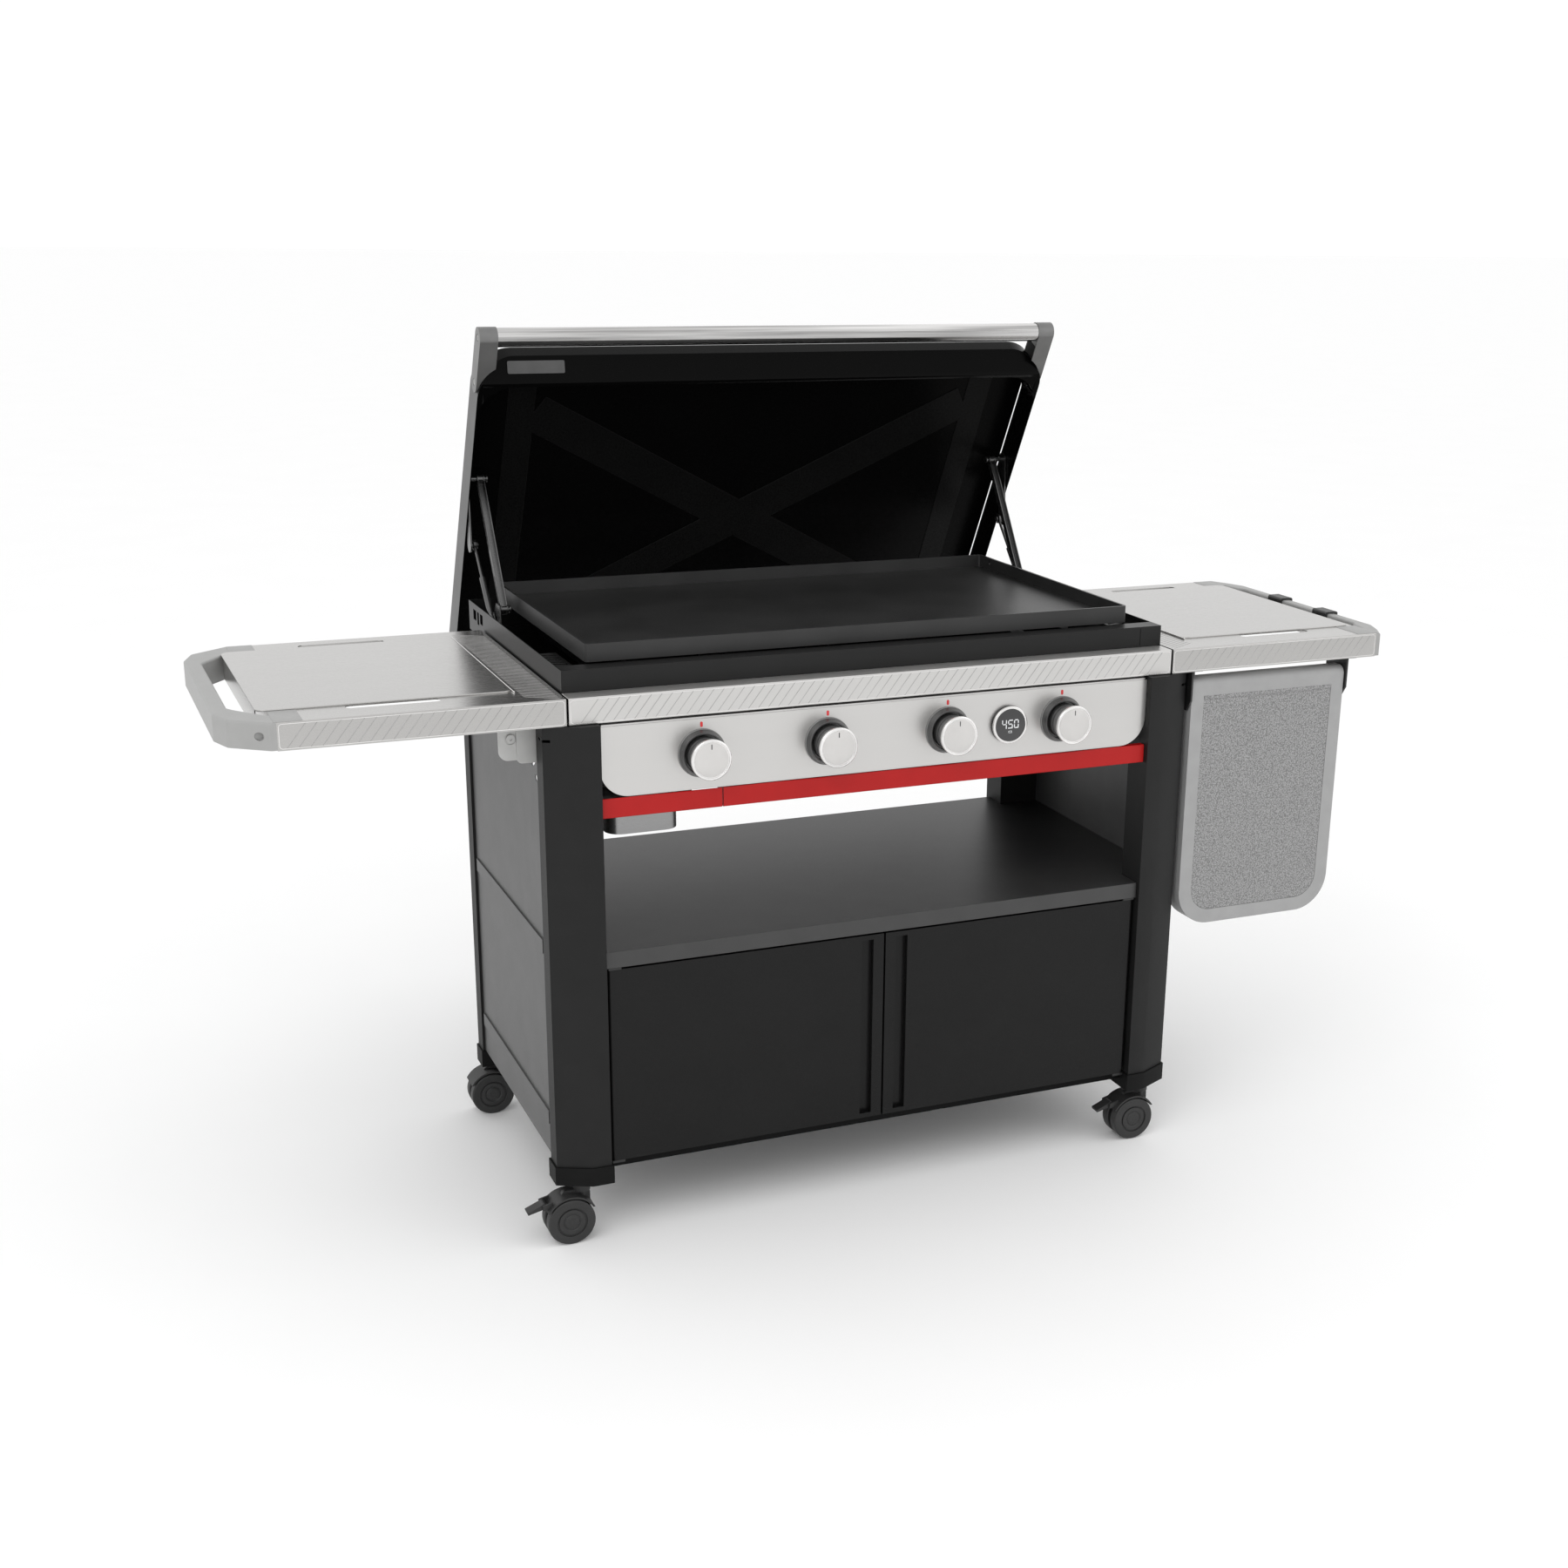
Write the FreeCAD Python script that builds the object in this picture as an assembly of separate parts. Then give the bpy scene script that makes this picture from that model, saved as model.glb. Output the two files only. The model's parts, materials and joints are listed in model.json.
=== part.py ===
"""Flat-top gas griddle cart: one closed solid (or group of solids) per named node.

Cart coordinates while modelling, in mm: X to the right from the middle of the cart,
Y to the back from the front face of the trim, Z up from the floor. export() moves
everything so that the origin is at floor level under the middle of the whole cart.
The lid is modelled shut and then swung open on its linkage.
"""
import math
import os

import FreeCAD, Part
from FreeCAD import Vector as V

# ---- where the middle of the bounding box lies in cart coordinates ----
MID_X = -7.5
MID_Y = 386.5

# ---- driving dimensions ----
SHEET = 1.5
TRIM_HALF, TRIM_TOP, TRIM_LOW = 503.0, 866.0, 826.0
TABLE_IN, TABLE_OUT, TABLE_BACK = 506.5, 909.0, 521.0
HANDLE_TIP = {"left": 984.0, "right": 947.0}
PLATE_SET = {"inner": 567.0, "left": 927.0, "right": 903.0, "front": 68.0, "rear": 470.0}
BOX_HALF, BOX_FRONT, BOX_BACK, BOX_TOP = 503.0, 37.0, 617.0, 899.0
TUB_HALF, TUB_FRONT, TUB_BACK, TUB_LOW = 455.0, 50.0, 600.0, 752.0
LEDGE_Z = 851.0
PLATE_HALF, PLATE_FRONT, PLATE_BACK = 457.0, 71.0, 604.0
PLATE_LOW, PLATE_TOP = 901.0, 928.0
LEG_IN, LEG_OUT, LEG_FRONT, LEG_BACK = 460.0, 541.0, -13.0, 553.0
FOOT_LOW, FOOT_TOP = 97.0, 127.0
SHELF_TOP, SHELF_LOW = 473.5, 447.5
PANEL_HALF, PANEL_LOW, PANEL_TOP = 462.0, 712.6, 820.0
KNOB_X = (-303.0, -101.0, 101.0, 303.0)
KNOB_Z = 768.0
RAIL_LOW, RAIL_TOP, RAIL_SPLIT = 682.0, 712.0, -272.0
DOOR_LOW, DOOR_TOP = 128.0, 444.0
DOOR_PIN_X, DOOR_PIN_Y = 447.5, 6.0
BRACKET_IN = 537.0
WHEEL_R, WHEEL_TRAIL, CASTER_X = 37.5, 22.0, 502.0
CASTER_Y = {"front": 14.5, "rear": 525.5}

# ---- lid and its linkage, (y, z) with the lid shut ----
LID_FRONT, LID_BACK, LID_RIM, LID_TOP = 5.0, 650.0, 899.5, 955.0
ARM_BASE = (481.94, 904.76)
ARM_LID = (248.65, 938.23)
STRUT_BASE = (496.94, 878.75)
STRUT_LID = (340.24, 879.45)
ARM_TURN = 115.44
STRUT_TURN = 133.0
LID_TURN = 61.0
HANDLE_YZ = (-32.0, 921.0)
HANDLE_R = 15.0
BRACKET_FAR_Y = 48.5

PIVOT_SLOT = 1.7
RUN = 0.06


def box(x0, x1, y0, y1, z0, z1):
    return Part.makeBox(x1 - x0, y1 - y0, z1 - z0, V(x0, y0, z0))


def rod(start, end, radius):
    a = V(*start)
    b = V(*end)
    return Part.makeCylinder(radius, (b - a).Length, a, b - a)


def prism(points, direction):
    wire = Part.makePolygon([V(*p) for p in points] + [V(*points[0])])
    return Part.Face(wire).extrude(V(*direction))


def fuse(shapes):
    result = shapes[0]
    if len(shapes) > 1:
        result = result.fuse(shapes[1:])
    return result.removeSplitter()


def cut(shape, tools):
    return shape.cut(tools).removeSplitter()


def round_plate(cx, cy, half_x, half_y, z0, z1, r):
    """Plate with rounded plan corners."""
    solid = box(cx - half_x, cx + half_x, cy - half_y, cy + half_y, z0, z1)
    return round_edges(solid, r, "z")


def round_edges(solid, r, axis, where=None):
    """Round the straight edges along one axis; where() picks them by midpoint."""
    picked = []
    for edge in solid.Edges:
        if len(edge.Vertexes) != 2:
            continue
        d = edge.Vertexes[1].Point - edge.Vertexes[0].Point
        along = {"x": abs(d.x), "y": abs(d.y), "z": abs(d.z)}[axis]
        if along < d.Length * 0.999 or d.Length < 1e-6:
            continue
        mid = (edge.Vertexes[1].Point + edge.Vertexes[0].Point) * 0.5
        if where is None or where(mid):
            picked.append(edge)
    return solid.makeFillet(r, picked)


def mirror_x(shape):
    return shape.mirror(V(0, 0, 0), V(1, 0, 0))


def sided(shape, side):
    """A shape modelled on the right-hand side, or its left-hand twin."""
    return shape if side == "right" else mirror_x(shape)


def both_sides(shape):
    return Part.makeCompound([shape, mirror_x(shape)])


def group(shapes):
    solids = [s for shape in shapes for s in shape.Solids]
    return Part.makeCompound(solids)


def turn(point, centre, degrees):
    a = math.radians(degrees)
    y = point[0] - centre[0]
    z = point[1] - centre[1]
    return (centre[0] + y * math.cos(a) - z * math.sin(a),
            centre[1] + y * math.sin(a) + z * math.cos(a))


def swing(shape, centre, degrees):
    """Turn a shape about a line along X through a (y, z) point."""
    moved = shape.copy()
    moved.rotate(V(0, centre[0], centre[1]), V(1, 0, 0), degrees)
    return moved


def open_lid(shape):
    """Carry a piece of the shut lid to where the linkage holds it open."""
    moved = swing(shape, ARM_LID, -LID_TURN)
    to = turn(ARM_LID, ARM_BASE, -ARM_TURN)
    moved.translate(V(0, to[0] - ARM_LID[0], to[1] - ARM_LID[1]))
    return moved


# ---------------------------------------------------------------- frame

def leg_plan(side, end):
    """Plan outline of a corner post with its outer corner cut off."""
    if end == "front":
        pts = [(LEG_IN, LEG_FRONT), (LEG_IN + 30, LEG_FRONT), (LEG_OUT, LEG_FRONT + 24),
               (LEG_OUT, LEG_FRONT + 58), (LEG_IN, LEG_FRONT + 58)]
    else:
        pts = [(LEG_IN, LEG_BACK), (LEG_IN + 30, LEG_BACK), (LEG_OUT, LEG_BACK - 24),
               (LEG_OUT, LEG_BACK - 58), (LEG_IN, LEG_BACK - 58)]
    s = 1 if side == "right" else -1
    return [(s * x, y) for x, y in pts]


def offset_plan(points, grow):
    """Outline grown outwards from its middle by about the same amount on each side."""
    wire = Part.makePolygon([V(x, y, 0) for x, y in points] + [V(points[0][0], points[0][1], 0)])
    grown = wire.makeOffset2D(grow, 2)
    return [(v.Point.x, v.Point.y) for v in grown.OrderedVertexes]


def legs():
    posts = []
    for side in ("left", "right"):
        for end in ("front", "rear"):
            plan = leg_plan(side, end)
            top = TRIM_LOW - 0.5
            outer = prism([(x, y, FOOT_TOP - 22) for x, y in plan], (0, 0, top - FOOT_TOP + 22))
            inner = prism([(x, y, FOOT_TOP - 22) for x, y in offset_plan(plan, -2.0)],
                          (0, 0, top - FOOT_TOP + 20))
            post = outer.cut(inner)
            if end == "front":
                s = 1 if side == "right" else -1
                slot = [box(530, 550, 4 + 18 * i, 14 + 18 * i, 802, 806) for i in range(2)]
                post = post.cut([t if s == 1 else mirror_x(t) for t in slot])
            posts.append(post)
    return group(posts)


def leg_feet():
    caps = []
    for side in ("left", "right"):
        for end in ("front", "rear"):
            plan = leg_plan(side, end)
            outer = prism([(x, y, FOOT_LOW) for x, y in offset_plan(plan, 3.0)],
                          (0, 0, FOOT_TOP - FOOT_LOW))
            pocket = prism([(x, y, FOOT_TOP - 22) for x, y in plan], (0, 0, 40))
            s = 1 if side == "right" else -1
            x, y = s * CASTER_X, CASTER_Y[end]
            bore = rod((x, y, FOOT_LOW - 1), (x, y, FOOT_TOP), 6.06)
            caps.append(outer.cut([pocket, bore]))
    return group(caps)


def side_panel(side):
    """Outer sheet between the posts with two raised ribs, and a slotted top end."""
    y0, y1 = LEG_FRONT + 58, LEG_BACK - 58
    sheet = box(535.0, 536.5, y0, y1, 128, TRIM_LOW - 0.5)
    ribs = [box(536.5, 539.5, y0 + 12, y1 - 12, z, z + 22) for z in (180, 462)]
    panel = fuse([sheet] + ribs)
    holes = [rod((530, 70, 734), (545, 70, 734), 5)]
    holes += [box(530, 545, 60, 64, z, z + 10) for z in (770, 790)]
    arc = rod((530, 92, 772), (545, 92, 772), 24).cut(rod((529, 92, 772), (546, 92, 772), 20))
    holes.append(arc.common(box(530, 545, 60, 92, 748, 796)))
    return sided(cut(panel, holes), side)


def side_panels():
    return group([side_panel("left"), side_panel("right")])


def middle_shelf():
    deck = box(-459.4, 459.4, -5, 545, SHELF_TOP - SHEET, SHELF_TOP)
    wings = box(-534.6, 534.6, 45.5, 494.5, SHELF_TOP - SHEET, SHELF_TOP)
    front = box(-459.4, 459.4, -5, -5 + SHEET, SHELF_LOW, SHELF_TOP)
    back = box(-459.4, 459.4, 545 - SHEET, 545, SHELF_LOW, SHELF_TOP)
    ribs = [box(-430, 430, y, y + 20, SHELF_TOP - 12, SHELF_TOP - SHEET) for y in (150, 380)]
    return fuse([deck, wings, front, back] + ribs)


def cabinet_floor():
    deck = box(-459.4, 459.4, 12, 545, 130, 131.5)
    wings = box(-534.6, 534.6, 45.5, 494.5, 130, 131.5)
    front = box(-456.4, 456.4, 10.5, 12, 112, 131.5)
    lip = box(-456.4, 456.4, 10.5, 24, 112, 113.5)
    back = box(-456.4, 456.4, 543.5, 545, 112, 131.5)
    sweep = [rod((s * DOOR_PIN_X, DOOR_PIN_Y, DOOR_LOW - 0.5),
                 (s * DOOR_PIN_X, DOOR_PIN_Y, 133), 10.8) for s in (-1, 1)]
    return cut(fuse([deck, wings, front, lip, back]), sweep)


def back_panel():
    sheet = box(-459.4, 459.4, 546, 547.5, 131.5, SHELF_LOW)
    ribs = [box(-400 + 280 * i, -160 + 280 * i, 547.5, 549.5, 170, 410) for i in range(3)]
    return fuse([sheet] + ribs)


# ------------------------------------------------------------- cook box

def cook_box():
    fence = box(-BOX_HALF, BOX_HALF, BOX_FRONT, BOX_BACK, LEDGE_Z - SHEET, BOX_TOP)
    hollow = box(-BOX_HALF + SHEET, BOX_HALF - SHEET, BOX_FRONT + SHEET, BOX_BACK - SHEET,
                 LEDGE_Z, BOX_TOP + 1)
    fence = fence.cut(hollow)
    mouth = box(-TUB_HALF + SHEET, TUB_HALF - SHEET, TUB_FRONT + SHEET, TUB_BACK - SHEET,
                TUB_LOW + SHEET, LEDGE_Z + 1)
    tub = box(-TUB_HALF, TUB_HALF, TUB_FRONT, TUB_BACK, TUB_LOW, LEDGE_Z - 0.5)
    body = fence.fuse(tub).cut(mouth)
    parts = [body]
    # front top flange and the raised slotted ledges beside the plate
    parts.append(box(-BOX_HALF, BOX_HALF, BOX_FRONT, 69, BOX_TOP - SHEET, BOX_TOP))
    for s in (-1, 1):
        x0, x1 = sorted((s * 459.0, s * (BOX_HALF - 0.5)))
        parts.append(box(x0, x1, 60, 228, BOX_TOP - 15 - SHEET, BOX_TOP - 15))
        parts.append(box(x0, x1, 226.5, 228, LEDGE_Z - 0.5, BOX_TOP - 15))
    # plate rests across the tub
    for x in (-380, -130, 130, 380):
        parts.append(box(x - 12, x + 12, TUB_FRONT + 0.5, TUB_BACK - 0.5, 838, 846))
    posts = [box(x - 10, x + 10, y - 10, y + 10, 840, PLATE_LOW - 0.4)
             for x in (-380, 380) for y in (100, 572)]
    body = fuse(parts + posts)
    tools = []
    for s in (-1, 1):
        for i in range(9):
            y = 74 + 16 * i
            a = [(s * 464, y), (s * 494, y + 12), (s * 494, y + 18), (s * 464, y + 6)]
            tools.append(prism([(px, py, BOX_TOP - 20) for px, py in a], (0, 0, 10)))
    # openings in the side fence near the back, and grease outlet
    for s in (-1, 1):
        for i, (y, w) in enumerate(((520, 18), (546, 12), (566, 20))):
            x0, x1 = sorted((s * 495, s * 510))
            tools.append(box(x0, x1, y, y + w, 872 - 4 * (i % 2), 889))
    tools.append(rod((-390, 110, TUB_LOW - 5), (-390, 110, TUB_LOW + 5), 30))
    # burner tube and igniter lead holes through the front wall
    for x in KNOB_X:
        tools.append(rod((x, TUB_FRONT - 5, 790), (x, TUB_FRONT + 10, 790), 16))
    # deep groove near the right end of the front face
    tools.append(box(449, 465, BOX_FRONT - 1, BOX_FRONT + 0.8, 868, BOX_TOP - 3))
    return group(box_sheets(cut(body, tools)))


def box_sheets(body):
    """Part the cook box into its welded sheets: two side fences, two ledges and the rest."""
    far, fence, ledge = 600.0, BOX_HALF - SHEET, TUB_HALF
    zones = [box(-fence, fence, 0, 700, LEDGE_Z, 1000)]
    zones.append(box(-ledge, ledge, 0, 700, 700, LEDGE_Z))
    for s in (-1, 1):
        x0, x1 = sorted((s * fence, s * far))
        zones.append(box(x0, x1, 0, 700, 700, 1000))
        x0, x1 = sorted((s * ledge, s * fence))
        zones.append(box(x0, x1, 0, 700, 700, LEDGE_Z))
    return [body.common(zone) for zone in zones]


def front_trim():
    face = box(-TRIM_HALF, TRIM_HALF, 0, SHEET, TRIM_LOW, TRIM_TOP)
    top = box(-TRIM_HALF, TRIM_HALF, 0, 36, TRIM_TOP - SHEET, TRIM_TOP)
    low = box(-TRIM_HALF, TRIM_HALF, 0, 30, TRIM_LOW, TRIM_LOW + SHEET)
    trim = fuse([face, top, low])
    return round_edges(trim, 1.2, "x", lambda m: m.y < 0.1)


def control_panel():
    plate = box(-PANEL_HALF + 2.5, PANEL_HALF - 2.5, 0, 3, PANEL_LOW, PANEL_TOP)
    plate = round_edges(plate, 45.0, "y", lambda m: m.z < PANEL_LOW + 1)
    hem = box(-PANEL_HALF + 6, PANEL_HALF - 6, 0.2, 24, PANEL_TOP + 1.5, PANEL_TOP + 3)
    web = box(-PANEL_HALF + 6, PANEL_HALF - 6, 1.4, 2.9, PANEL_TOP - 1, PANEL_TOP + 3)
    body = fuse([plate, web, hem])
    tools = [rod((x, -5, KNOB_Z), (x, 10, KNOB_Z), 8.0) for x in KNOB_X]
    tools.append(rod((207.5, -5, KNOB_Z), (207.5, 10, KNOB_Z), 20.5))
    return cut(body, tools)


def knob_bezels():
    rings = []
    for x in KNOB_X:
        ring = Part.makeCone(36.5, 33.0, 12.0, V(x, -0.3, KNOB_Z), V(0, -1, 0))
        inner = rod((x, 1, KNOB_Z), (x, -13, KNOB_Z), 30.3)
        floor = rod((x, -0.3, KNOB_Z), (x, -2.3, KNOB_Z), 30.8)
        bore = rod((x, 2, KNOB_Z), (x, -4, KNOB_Z), 8.0)
        rings.append(ring.cut(inner).fuse(floor).cut(bore).removeSplitter())
    return group(rings)


def knob(x):
    """Knob with a waisted grip, its face ring and the shaft that turns the valve."""
    z = KNOB_Z
    skirt = rod((x, -6.5, z), (x, -16, z), 29.3)
    grip = Part.makeCone(29.3, 28.0, 22.0, V(x, -16, z), V(0, -1, 0))
    face = rod((x, -38, z), (x, -46, z), 31.0)
    face = face.makeChamfer(1.6, [e for e in face.Edges if abs(e.CenterOfMass.y + 46) < 0.1])
    flats = [box(x - 32, x + 32, -37.5, -16.5, z + 25.0, z + 36),
             box(x - 32, x + 32, -37.5, -16.5, z - 36, z - 25.0)]
    ring_groove = rod((x, -44.2, z), (x, -47, z), 27.5).cut(rod((x, -44, z), (x, -48, z), 26.2))
    shaft = rod((x, -7, z), (x, 26.0, z), 5.0)
    return fuse([cut(fuse([skirt, grip, face]), flats + [ring_groove]), shaft])


def display_housing():
    x, z = 207.5, KNOB_Z
    rim = Part.makeCone(30.0, 29.0, 9.0, V(x, -0.3, z), V(0, -1, 0))
    cup = rod((x, -0.4, z), (x, 18, z), 19.8)
    well = rod((x, -6.0, z), (x, -10, z), 26.0)
    return cut(fuse([rim, cup]), [well])


def display_lens():
    x, z = 207.5, KNOB_Z
    return rod((x, -6.0, z), (x, -8.4, z), 25.9)


# ------------------------------------------------------------------ gas

def gas_manifold():
    z = KNOB_Z
    tube = rod((-360, 38, z), (420, 38, z), 8.0)
    inlet = rod((420, 38, z), (446, 38, z), 11.0)
    elbow = rod((438, 38, z), (438, 38, z - 40), 7.0)
    cap = rod((-368, 38, z), (-360, 38, z), 9.0)
    nut = rod((438, 38, z - 40), (438, 38, z - 56), 10.0)
    bore = rod((438, 38, z - 57), (438, 38, z - 20), 4.0)
    return cut(fuse([tube, inlet, elbow, cap, nut]), [bore])


def gas_valves():
    valves = []
    for x in KNOB_X:
        z = KNOB_Z
        seat = rod((x, 38, z), (x, 38, z + 14), 9.5)
        body = fuse([box(x - 10, x + 10, 12, 29.6, z - 11, z + 26), seat])
        body = body.cut(rod((-400, 38, z), (450, 38, z), 8.3))
        body = body.cut(rod((x, 11, z), (x, 27, z), 5.06))
        spud = rod((x, 20, z + 22), (x, 44, z + 22), 4.5)
        lump = [s for s in body.fuse(spud).Solids]
        lump.sort(key=lambda s: -s.Volume)
        valves.append(lump[0])
    return group(valves)


def burners():
    """Four burner tubes running front to back with rows of ports, and spark electrodes."""
    out = []
    for x in KNOB_X:
        z = 790.0
        tube = rod((x, 48.5, z), (x, 560, z), 14.0)
        bore = rod((x, 40, z), (x, 556, z), 12.0)
        ports = [rod((x, y, z), (x, y, z + 20), 2.0) for y in range(120, 540, 30)]
        out.append(tube.cut([bore] + ports))
        base = box(x + 20, x + 34, 120, 134, TUB_LOW + SHEET, 786)
        pin = rod((x + 27, 127, 786), (x + 27, 127, 806), 2.0)
        out.append(fuse([base, pin]))
    for y in (300, 520):
        out.append(cut(box(-420, 420, y - 4, y + 4, TUB_LOW + SHEET, 778),
                       [rod((x, y - 6, 790), (x, y + 6, 790), 14.3) for x in KNOB_X]))
    return group(out)


# --------------------------------------------------------------- grease

def grease_drawer():
    """Red front of the slide-out grease tray with its two side arms."""
    face = box(-459.0, RAIL_SPLIT, -3, 8, RAIL_LOW, RAIL_TOP)
    face = round_edges(face, 2.0, "x", lambda m: m.y < 0)
    recess = box(-455, RAIL_SPLIT - 4, -1, 9, RAIL_TOP - 3, RAIL_TOP + 1)
    face = cut(face, [recess])
    arms = [box(x, x + 2, 7.5, 330, RAIL_LOW + 8, RAIL_TOP - 6) for x in (-452, -324)]
    ledges = [box(-450.5, -447, 7.5, 330, RAIL_TOP - 11, RAIL_TOP - 9),
              box(-330.0, -323.5, 7.5, 330, RAIL_TOP - 11, RAIL_TOP - 9)]
    back = box(-452, -322, 328, 330, RAIL_LOW + 8, RAIL_TOP - 6)
    return fuse([face] + arms + ledges + [back])


def grease_pan():
    """Rounded pan that hangs on the drawer's ledges by its rim."""
    x, y, half_x, half_y = -387.5, 168, 56, 150
    outer = round_plate(x, y, half_x, half_y, RAIL_LOW - 33, RAIL_TOP - 8, 24)
    inner = round_plate(x, y, half_x - 1.5, half_y - 1.5, RAIL_LOW - 31.5, RAIL_TOP, 22.5)
    rim = round_plate(x, y, half_x + 5.6, half_y + 4.6, RAIL_TOP - 9, RAIL_TOP - 7.5, 24)
    hole = round_plate(x, y, half_x - 1, half_y - 1, RAIL_TOP - 12, RAIL_TOP, 23)
    return fuse([outer.cut(inner), rim.cut(hole)])


def drawer_runners():
    """Two channels hung from the cook box, in which the drawer's arms slide."""
    parts = []
    for x0, foot_x0, foot_x1 in ((-457.5, -457.5, -448), (-316.5, -326, -315)):
        parts.append(box(x0, x0 + 1.5, 12, 345, RAIL_LOW + 2, RAIL_TOP + 8))
        parts.append(box(foot_x0, foot_x1, 12, 345, RAIL_LOW + 2, RAIL_LOW + 3.5))
        for y in (60, 300):
            parts.append(box(x0, x0 + 1.5, y, y + 20, RAIL_TOP + 8, TUB_LOW - 0.4))
    for y in (40, 322):
        parts.append(box(-457.5, -315, y, y + 20, RAIL_TOP + 6.5, RAIL_TOP + 8))
    parts.append(box(-380, -360, 322, 342, RAIL_TOP + 8, TUB_LOW - 0.4))
    return fuse(parts)


def lower_rail():
    face = box(RAIL_SPLIT + 2, 459.0, -3, 9, RAIL_LOW, RAIL_TOP)
    face = round_edges(face, 2.0, "x", lambda m: m.y < 0)
    recess = box(RAIL_SPLIT + 6, 455, -1, 7.5, RAIL_LOW + 3, RAIL_TOP + 1)
    hollow = box(RAIL_SPLIT + 6, 455, -1.2, 10, RAIL_LOW + 3, RAIL_TOP - 4)
    return cut(face, [recess, hollow])


# --------------------------------------------------------------- tables

def table(side):
    """Pressed sheet top with a turned-down rim, slots at front and back and a well."""
    x0, x1 = TABLE_IN, TABLE_OUT
    shell = box(x0, x1, 0, TABLE_BACK, TRIM_LOW, TRIM_TOP)
    shell = shell.cut(box(x0 + SHEET, x1 - SHEET, SHEET, TABLE_BACK - SHEET,
                          TRIM_LOW - 1, TRIM_TOP - SHEET))
    shell = round_edges(shell, 2.0, "x", lambda m: m.z > TRIM_TOP - 0.1)
    lips = [box(x0 + 1, x1 - 1, 1, 22, TRIM_LOW, TRIM_LOW + SHEET),
            box(x0 + 1, x1 - 1, TABLE_BACK - 18, TABLE_BACK - 1, TRIM_LOW, TRIM_LOW + SHEET)]
    slots = []
    for y in (PLATE_SET["front"] - 10, PLATE_SET["rear"] + 14):
        slots.append(round_plate(740, y, 67, 8.5, TRIM_TOP - 5, TRIM_TOP + 2, 8.0))
    body = cut(fuse([shell] + lips), slots)
    return sided(body, side)


def table_plates():
    """Raised, rounded working surfaces; the left one reaches out over the hand slot."""
    plates = []
    front, rear = PLATE_SET["front"], PLATE_SET["rear"]
    for side in ("left", "right"):
        x0, x1 = PLATE_SET["inner"], PLATE_SET[side]
        plate = round_plate((x0 + x1) / 2, (front + rear) / 2, (x1 - x0) / 2, (rear - front) / 2,
                            TRIM_TOP, TRIM_TOP + 2.2, 14)
        rim = [e for e in plate.Edges if abs(e.BoundBox.ZMin - e.BoundBox.ZMax) < 1e-6
               and e.BoundBox.ZMin > TRIM_TOP + 2]
        plate = plate.makeFillet(1.2, rim)
        if x1 > TABLE_OUT:
            skirt = box(x1 - 2.5, x1 - 1, front + 20, rear - 20, TRIM_LOW + 6, TRIM_TOP + 1)
            plate = fuse([plate, skirt])
        plates.append(sided(plate, side))
    return group(plates)


def table_handle(side):
    """Moulded end loop with cut-off plan corners and an open hand slot."""
    tip = HANDLE_TIP[side]
    base = TABLE_OUT
    cut_in = 62.0 if side == "left" else 46.0
    grip = 24.0 if side == "left" else 18.0
    outer = [(base, 0), (base + 8, 0), (tip - 14, cut_in * 0.62), (tip, cut_in + 18),
             (tip, TABLE_BACK - cut_in - 18), (tip - 14, TABLE_BACK - cut_in * 0.62),
             (base + 8, TABLE_BACK), (base, TABLE_BACK)]
    inner = [(base - 1, 46), (base + 4, 46), (tip - grip - 8, cut_in + 34),
             (tip - grip, cut_in + 48), (tip - grip, TABLE_BACK - cut_in - 48),
             (tip - grip - 8, TABLE_BACK - cut_in - 34), (base + 4, TABLE_BACK - 46),
             (base - 1, TABLE_BACK - 46)]
    low, high = TRIM_LOW + 1, TRIM_TOP
    body = prism([(x, y, low) for x, y in outer], (0, 0, high - low))
    hole = prism([(x, y, low - 1) for x, y in inner], (0, 0, high - low + 2))
    body = body.cut(hole)
    body = round_edges(body, 10.0, "z", lambda m: m.x > base + 20)
    rim = [e for e in body.Edges if e.BoundBox.ZMax - e.BoundBox.ZMin < 1e-6
           and e.BoundBox.ZMin > high - 0.1 and e.BoundBox.XMin > base + 1]
    body = body.makeFillet(4.0, rim)
    wells = []
    for y in (0, TABLE_BACK):
        s = 1 if y == 0 else -1
        wells.append(rod((base + 22, y - s * 2, 846), (base + 22, y + s * 16, 846), 6.0))
    return sided(cut(body, wells), side)


def table_brackets():
    """Front-facing gusset plates, each with one screw, that carry the tables."""
    out = []
    top = TRIM_LOW - 0.4
    for side in ("left", "right"):
        for y in (64.0, 400.0):
            web = box(BRACKET_IN, 592, y, y + 3, 765, top)
            web = round_edges(web, 14, "y", lambda m: m.z < 766 and m.x > 590)
            step = box(BRACKET_IN, 566, y - 3, y, 760, top)
            step = round_edges(step, 8, "y", lambda m: m.z < 761 and m.x > 565)
            shelf = box(BRACKET_IN, 592, y, y + 40, top - 3, top)
            side_flange = box(BRACKET_IN, BRACKET_IN + 3, y, y + 40, 765, top)
            well = rod((574, y - 1, 798), (574, y + 1.2, 798), 9)
            out.append(sided(cut(fuse([web, step, shelf, side_flange]), [well]), side))
            head = rod((574, y + 1.2, 798), (574, y - 2.4, 798), 6.5)
            drive = rod((574, y - 1.0, 798), (574, y - 3, 798), 2.4)
            out.append(sided(head.cut(drive), side))
    return group(out)


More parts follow.
